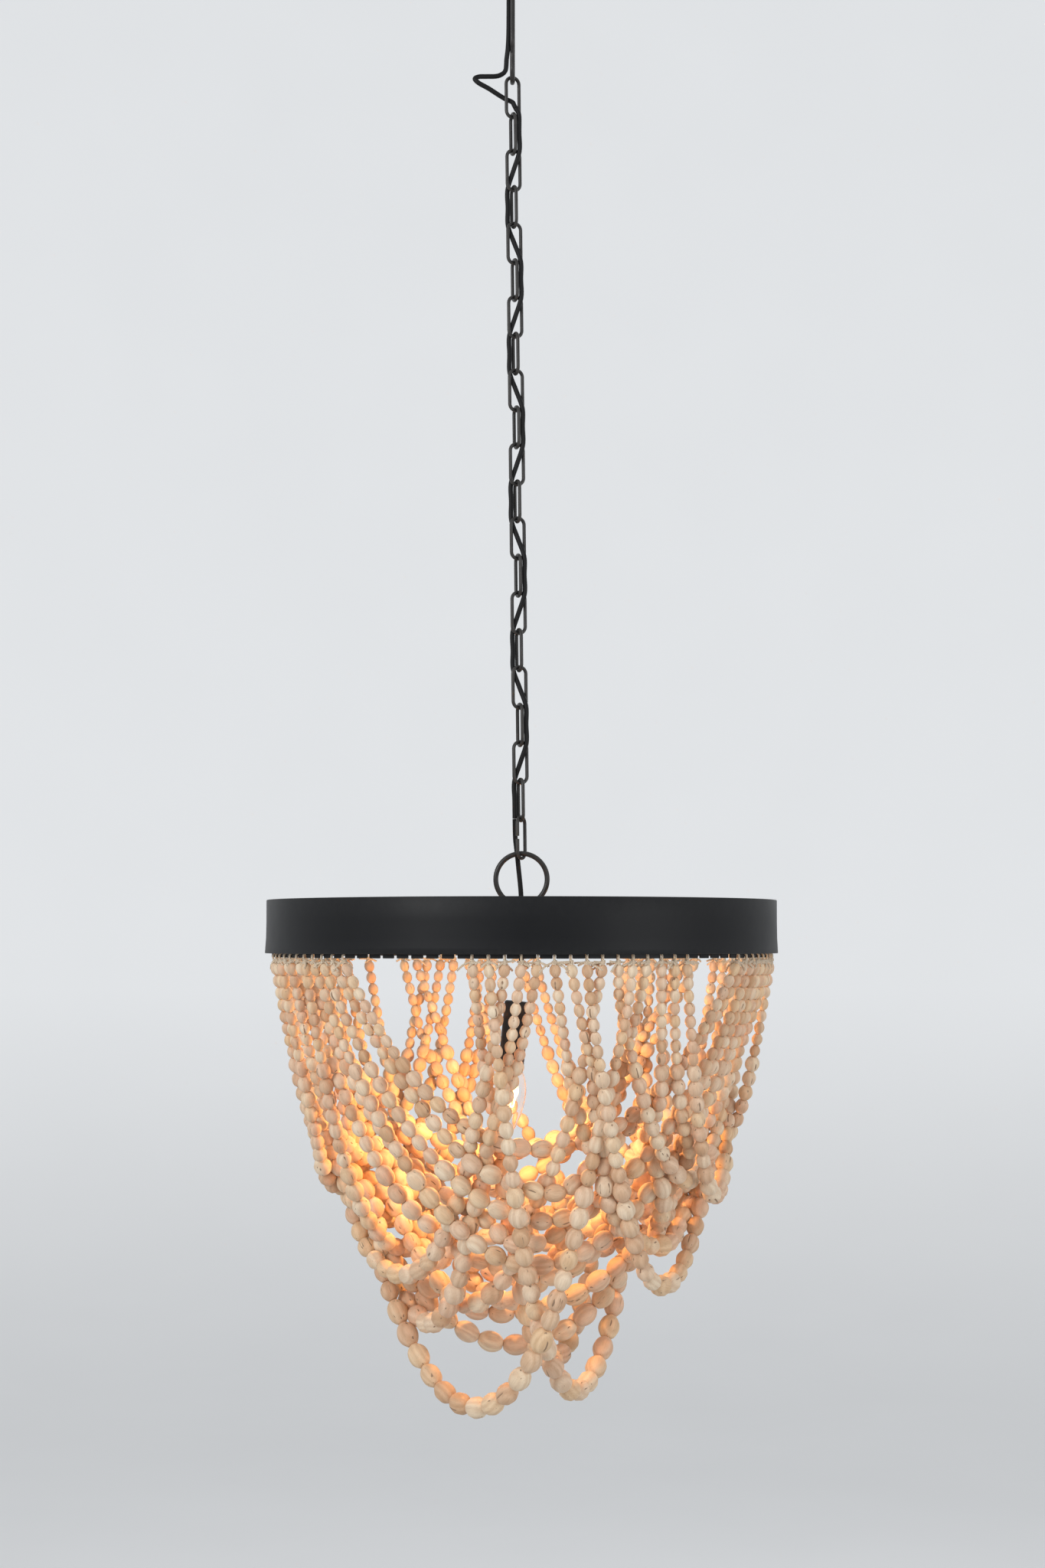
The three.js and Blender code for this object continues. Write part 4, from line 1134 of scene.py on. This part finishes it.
cap_profile += cap_outer[::-1] + [
    (6.8, cap_low), (6.3, cap_low), (6.0, cap_low + 1), (6.0, cap_top - 4.2), (0, cap_top - 4.2),
]
settle_piece(
    turned("lamp_screw_cap", cap_profile, in_lamp, 64, screw=0.28, sharp=60),
    "lamp", brass, "lamp_cap", slot="lamp_brass",
)

glass_length, glass_radius, neck_top = 80, 17.5, cap_low + 8
outer_shares = ((0.62, 0.1), (0.9, 0.24), (1, 0.4), (0.9, 0.6), (0.64, 0.79), (0.28, 0.94))
glass_outer = curve_through(
    [(5.6, neck_top), (5.6, cap_low)]
    + [(glass_radius * across, cap_low - glass_length * down) for across, down in outer_shares]
    + [(0, cap_low - glass_length)], 8,
)
glass_outer[:, 0] = np.clip(glass_outer[:, 0], 0, glass_radius)
glass_inner = glass_outer.copy()
glass_inner[:, 0] = np.maximum(glass_inner[:, 0] - 0.6, 0)
glass_inner[:, 1] = np.maximum(glass_inner[:, 1], cap_low - glass_length + 0.8)
glass_profile = np.vstack([glass_outer, glass_inner[::-1]])
glass_piece = settle_piece(
    turned("lamp_clear_glass", glass_profile, in_lamp, 72, sharp=60),
    "lamp", glass, "lamp_glass", slot="clear_glass",
)
glass_piece.visible_shadow = False
stem_low = neck_top - 19
stem_piece = settle_piece(turned("lamp_glass_stem", [
    (0, stem_low), (1.4, stem_low + 0.2), (1.9, stem_low + 1.5), (2.4, stem_low + 5), (3.2, stem_low + 9.5),
    (3.6, stem_low + 14), (4.2, stem_low + 19), (0, stem_low + 19),
], in_lamp, 40, sharp=60), "lamp", glass, "lamp_stem", slot="clear_glass")
stem_piece.visible_shadow = False

filament_drop, filament_spread = 34, 7
filament_turns = ((-0.15, 0), (-0.8, 0.12), (-1, 0.5), (-0.95, 0.9), (-0.7, 1), (-0.45, 0.9), (-0.4, 0.4),
                  (-0.2, 0.22), (0.2, 0.22), (0.4, 0.4), (0.45, 0.9), (0.7, 1), (0.95, 0.9), (1, 0.5),
                  (0.8, 0.12), (0.2, 0.01))
filament_line = curve_through([
    (across * filament_spread, 0, stem_low - 0.9 - down * filament_drop) for across, down in filament_turns
], 6)
settle_piece(
    wires("lamp_hot_filament", [[in_lamp @ (Vector(p) * mm) for p in filament_line]], 0.5 * mm, glow_wire, 8),
    "lamp", None, "lamp_filament", slot="filament",
)

# Camera, lights, floor and backdrop

camera_height = -0.985
camera_distance = 2.5
camera = new_object("camera", bpy.data.cameras.new("camera"))
camera.location = (0.010, -camera_distance, camera_height)
camera.rotation_euler = (math.radians(93.5), 0, 0)
camera.data.lens = 58.5
camera.data.sensor_width = 36
scene.camera = camera


def new_light(name, kind, place, energy, **settings):
    data = bpy.data.lights.new(name, kind)
    data.energy = energy
    for key, value in settings.items():
        setattr(data, key, value)
    made = new_object(name, data)
    made.location = place
    return made


glow_place = in_lamp @ Vector((0, 0, (stem_low - 20) * mm))
glow = new_light("lamp glow", "POINT", glow_place, 2.1, color=(1.0, 0.47, 0.13), shadow_soft_size=0.012)
glow.parent = frame["bodies"]["lamp"]
for light_name, light_place, width, watts in (
    ("key light", (-2.6, -3.2, 0.4), 2.2, 80),
    ("fill light", (3.2, -2.4, -0.8), 2.6, 40),
    ("back light", (0.8, 3.6, 0.6), 2.6, 22),
):
    soft = new_light(light_name, "AREA", light_place, watts, shape="DISK", size=width)
    aim = Vector((0, 0, -1.1)) - Vector(light_place)
    soft.rotation_euler = aim.to_track_quat("-Z", "Y").to_euler()


def backdrop():
    profile = [(0.0, -2.6), (5.0, -2.6), (7.0, -2.45), (8.2, -1.8), (8.9, -0.6), (9.0, 1.5), (9.0, 6.0)]
    line = curve_through(profile, 6)
    segments = 96
    points = []
    for side in range(segments):
        angle = full_turn * side / segments
        points.extend((r * math.cos(angle), r * math.sin(angle), z) for r, z in line)
    mesh = mesh_from("studio_floor", points, faces=turned_faces(len(line), segments))
    mesh.shade_smooth()
    made = new_object("studio_floor", mesh)
    paper, tree, shader = new_material("pale paper", Roughness=0.9)
    spot = noise(tree, object_place(tree), 2.0, 3, 0.5)
    shader.inputs["Emission Color"].default_value = (0.96, 0.98, 1.0, 1)
    height = add(tree, "ShaderNodeSeparateXYZ", inputs={0: object_place(tree)}).outputs["Z"]
    upright = add(tree, "ShaderNodeMapRange", inputs={
        "Value": height, "From Min": -2.62, "From Max": -1.2, "To Min": 0.17, "To Max": 0.36,
    }).outputs["Result"]
    feed(
        tree, shader.inputs, Base_Color=mixed(tree, spot, (0.70, 0.71, 0.72), (0.74, 0.75, 0.76)),
        Emission_Strength=math_node(tree, "MULTIPLY", seen_rays(tree), upright),
    )
    mesh.materials.append(paper)
    made.visible_shadow = False
    made.visible_diffuse = False


backdrop()

world = bpy.data.worlds.new("studio")
scene.world = world
world.use_nodes = True
sky = world.node_tree
sky.nodes.clear()
lit, shown = (
    add(sky, "ShaderNodeBackground", inputs={"Color": colour, "Strength": strength}).outputs[0]
    for colour, strength in (((0.96, 0.98, 1.0, 1), 0.52), ((0.84, 0.86, 0.88, 1), 0.9))
)
both = add(sky, "ShaderNodeMixShader", inputs={0: seen_rays(sky), 1: lit, 2: shown}).outputs[0]
add(sky, "ShaderNodeOutputWorld", inputs={"Surface": both})
scene.view_settings.view_transform = "Standard"

for form_name in ("bead form", "tooth form", "link form", "open link form"):
    bpy.data.objects.remove(bpy.data.objects[form_name])
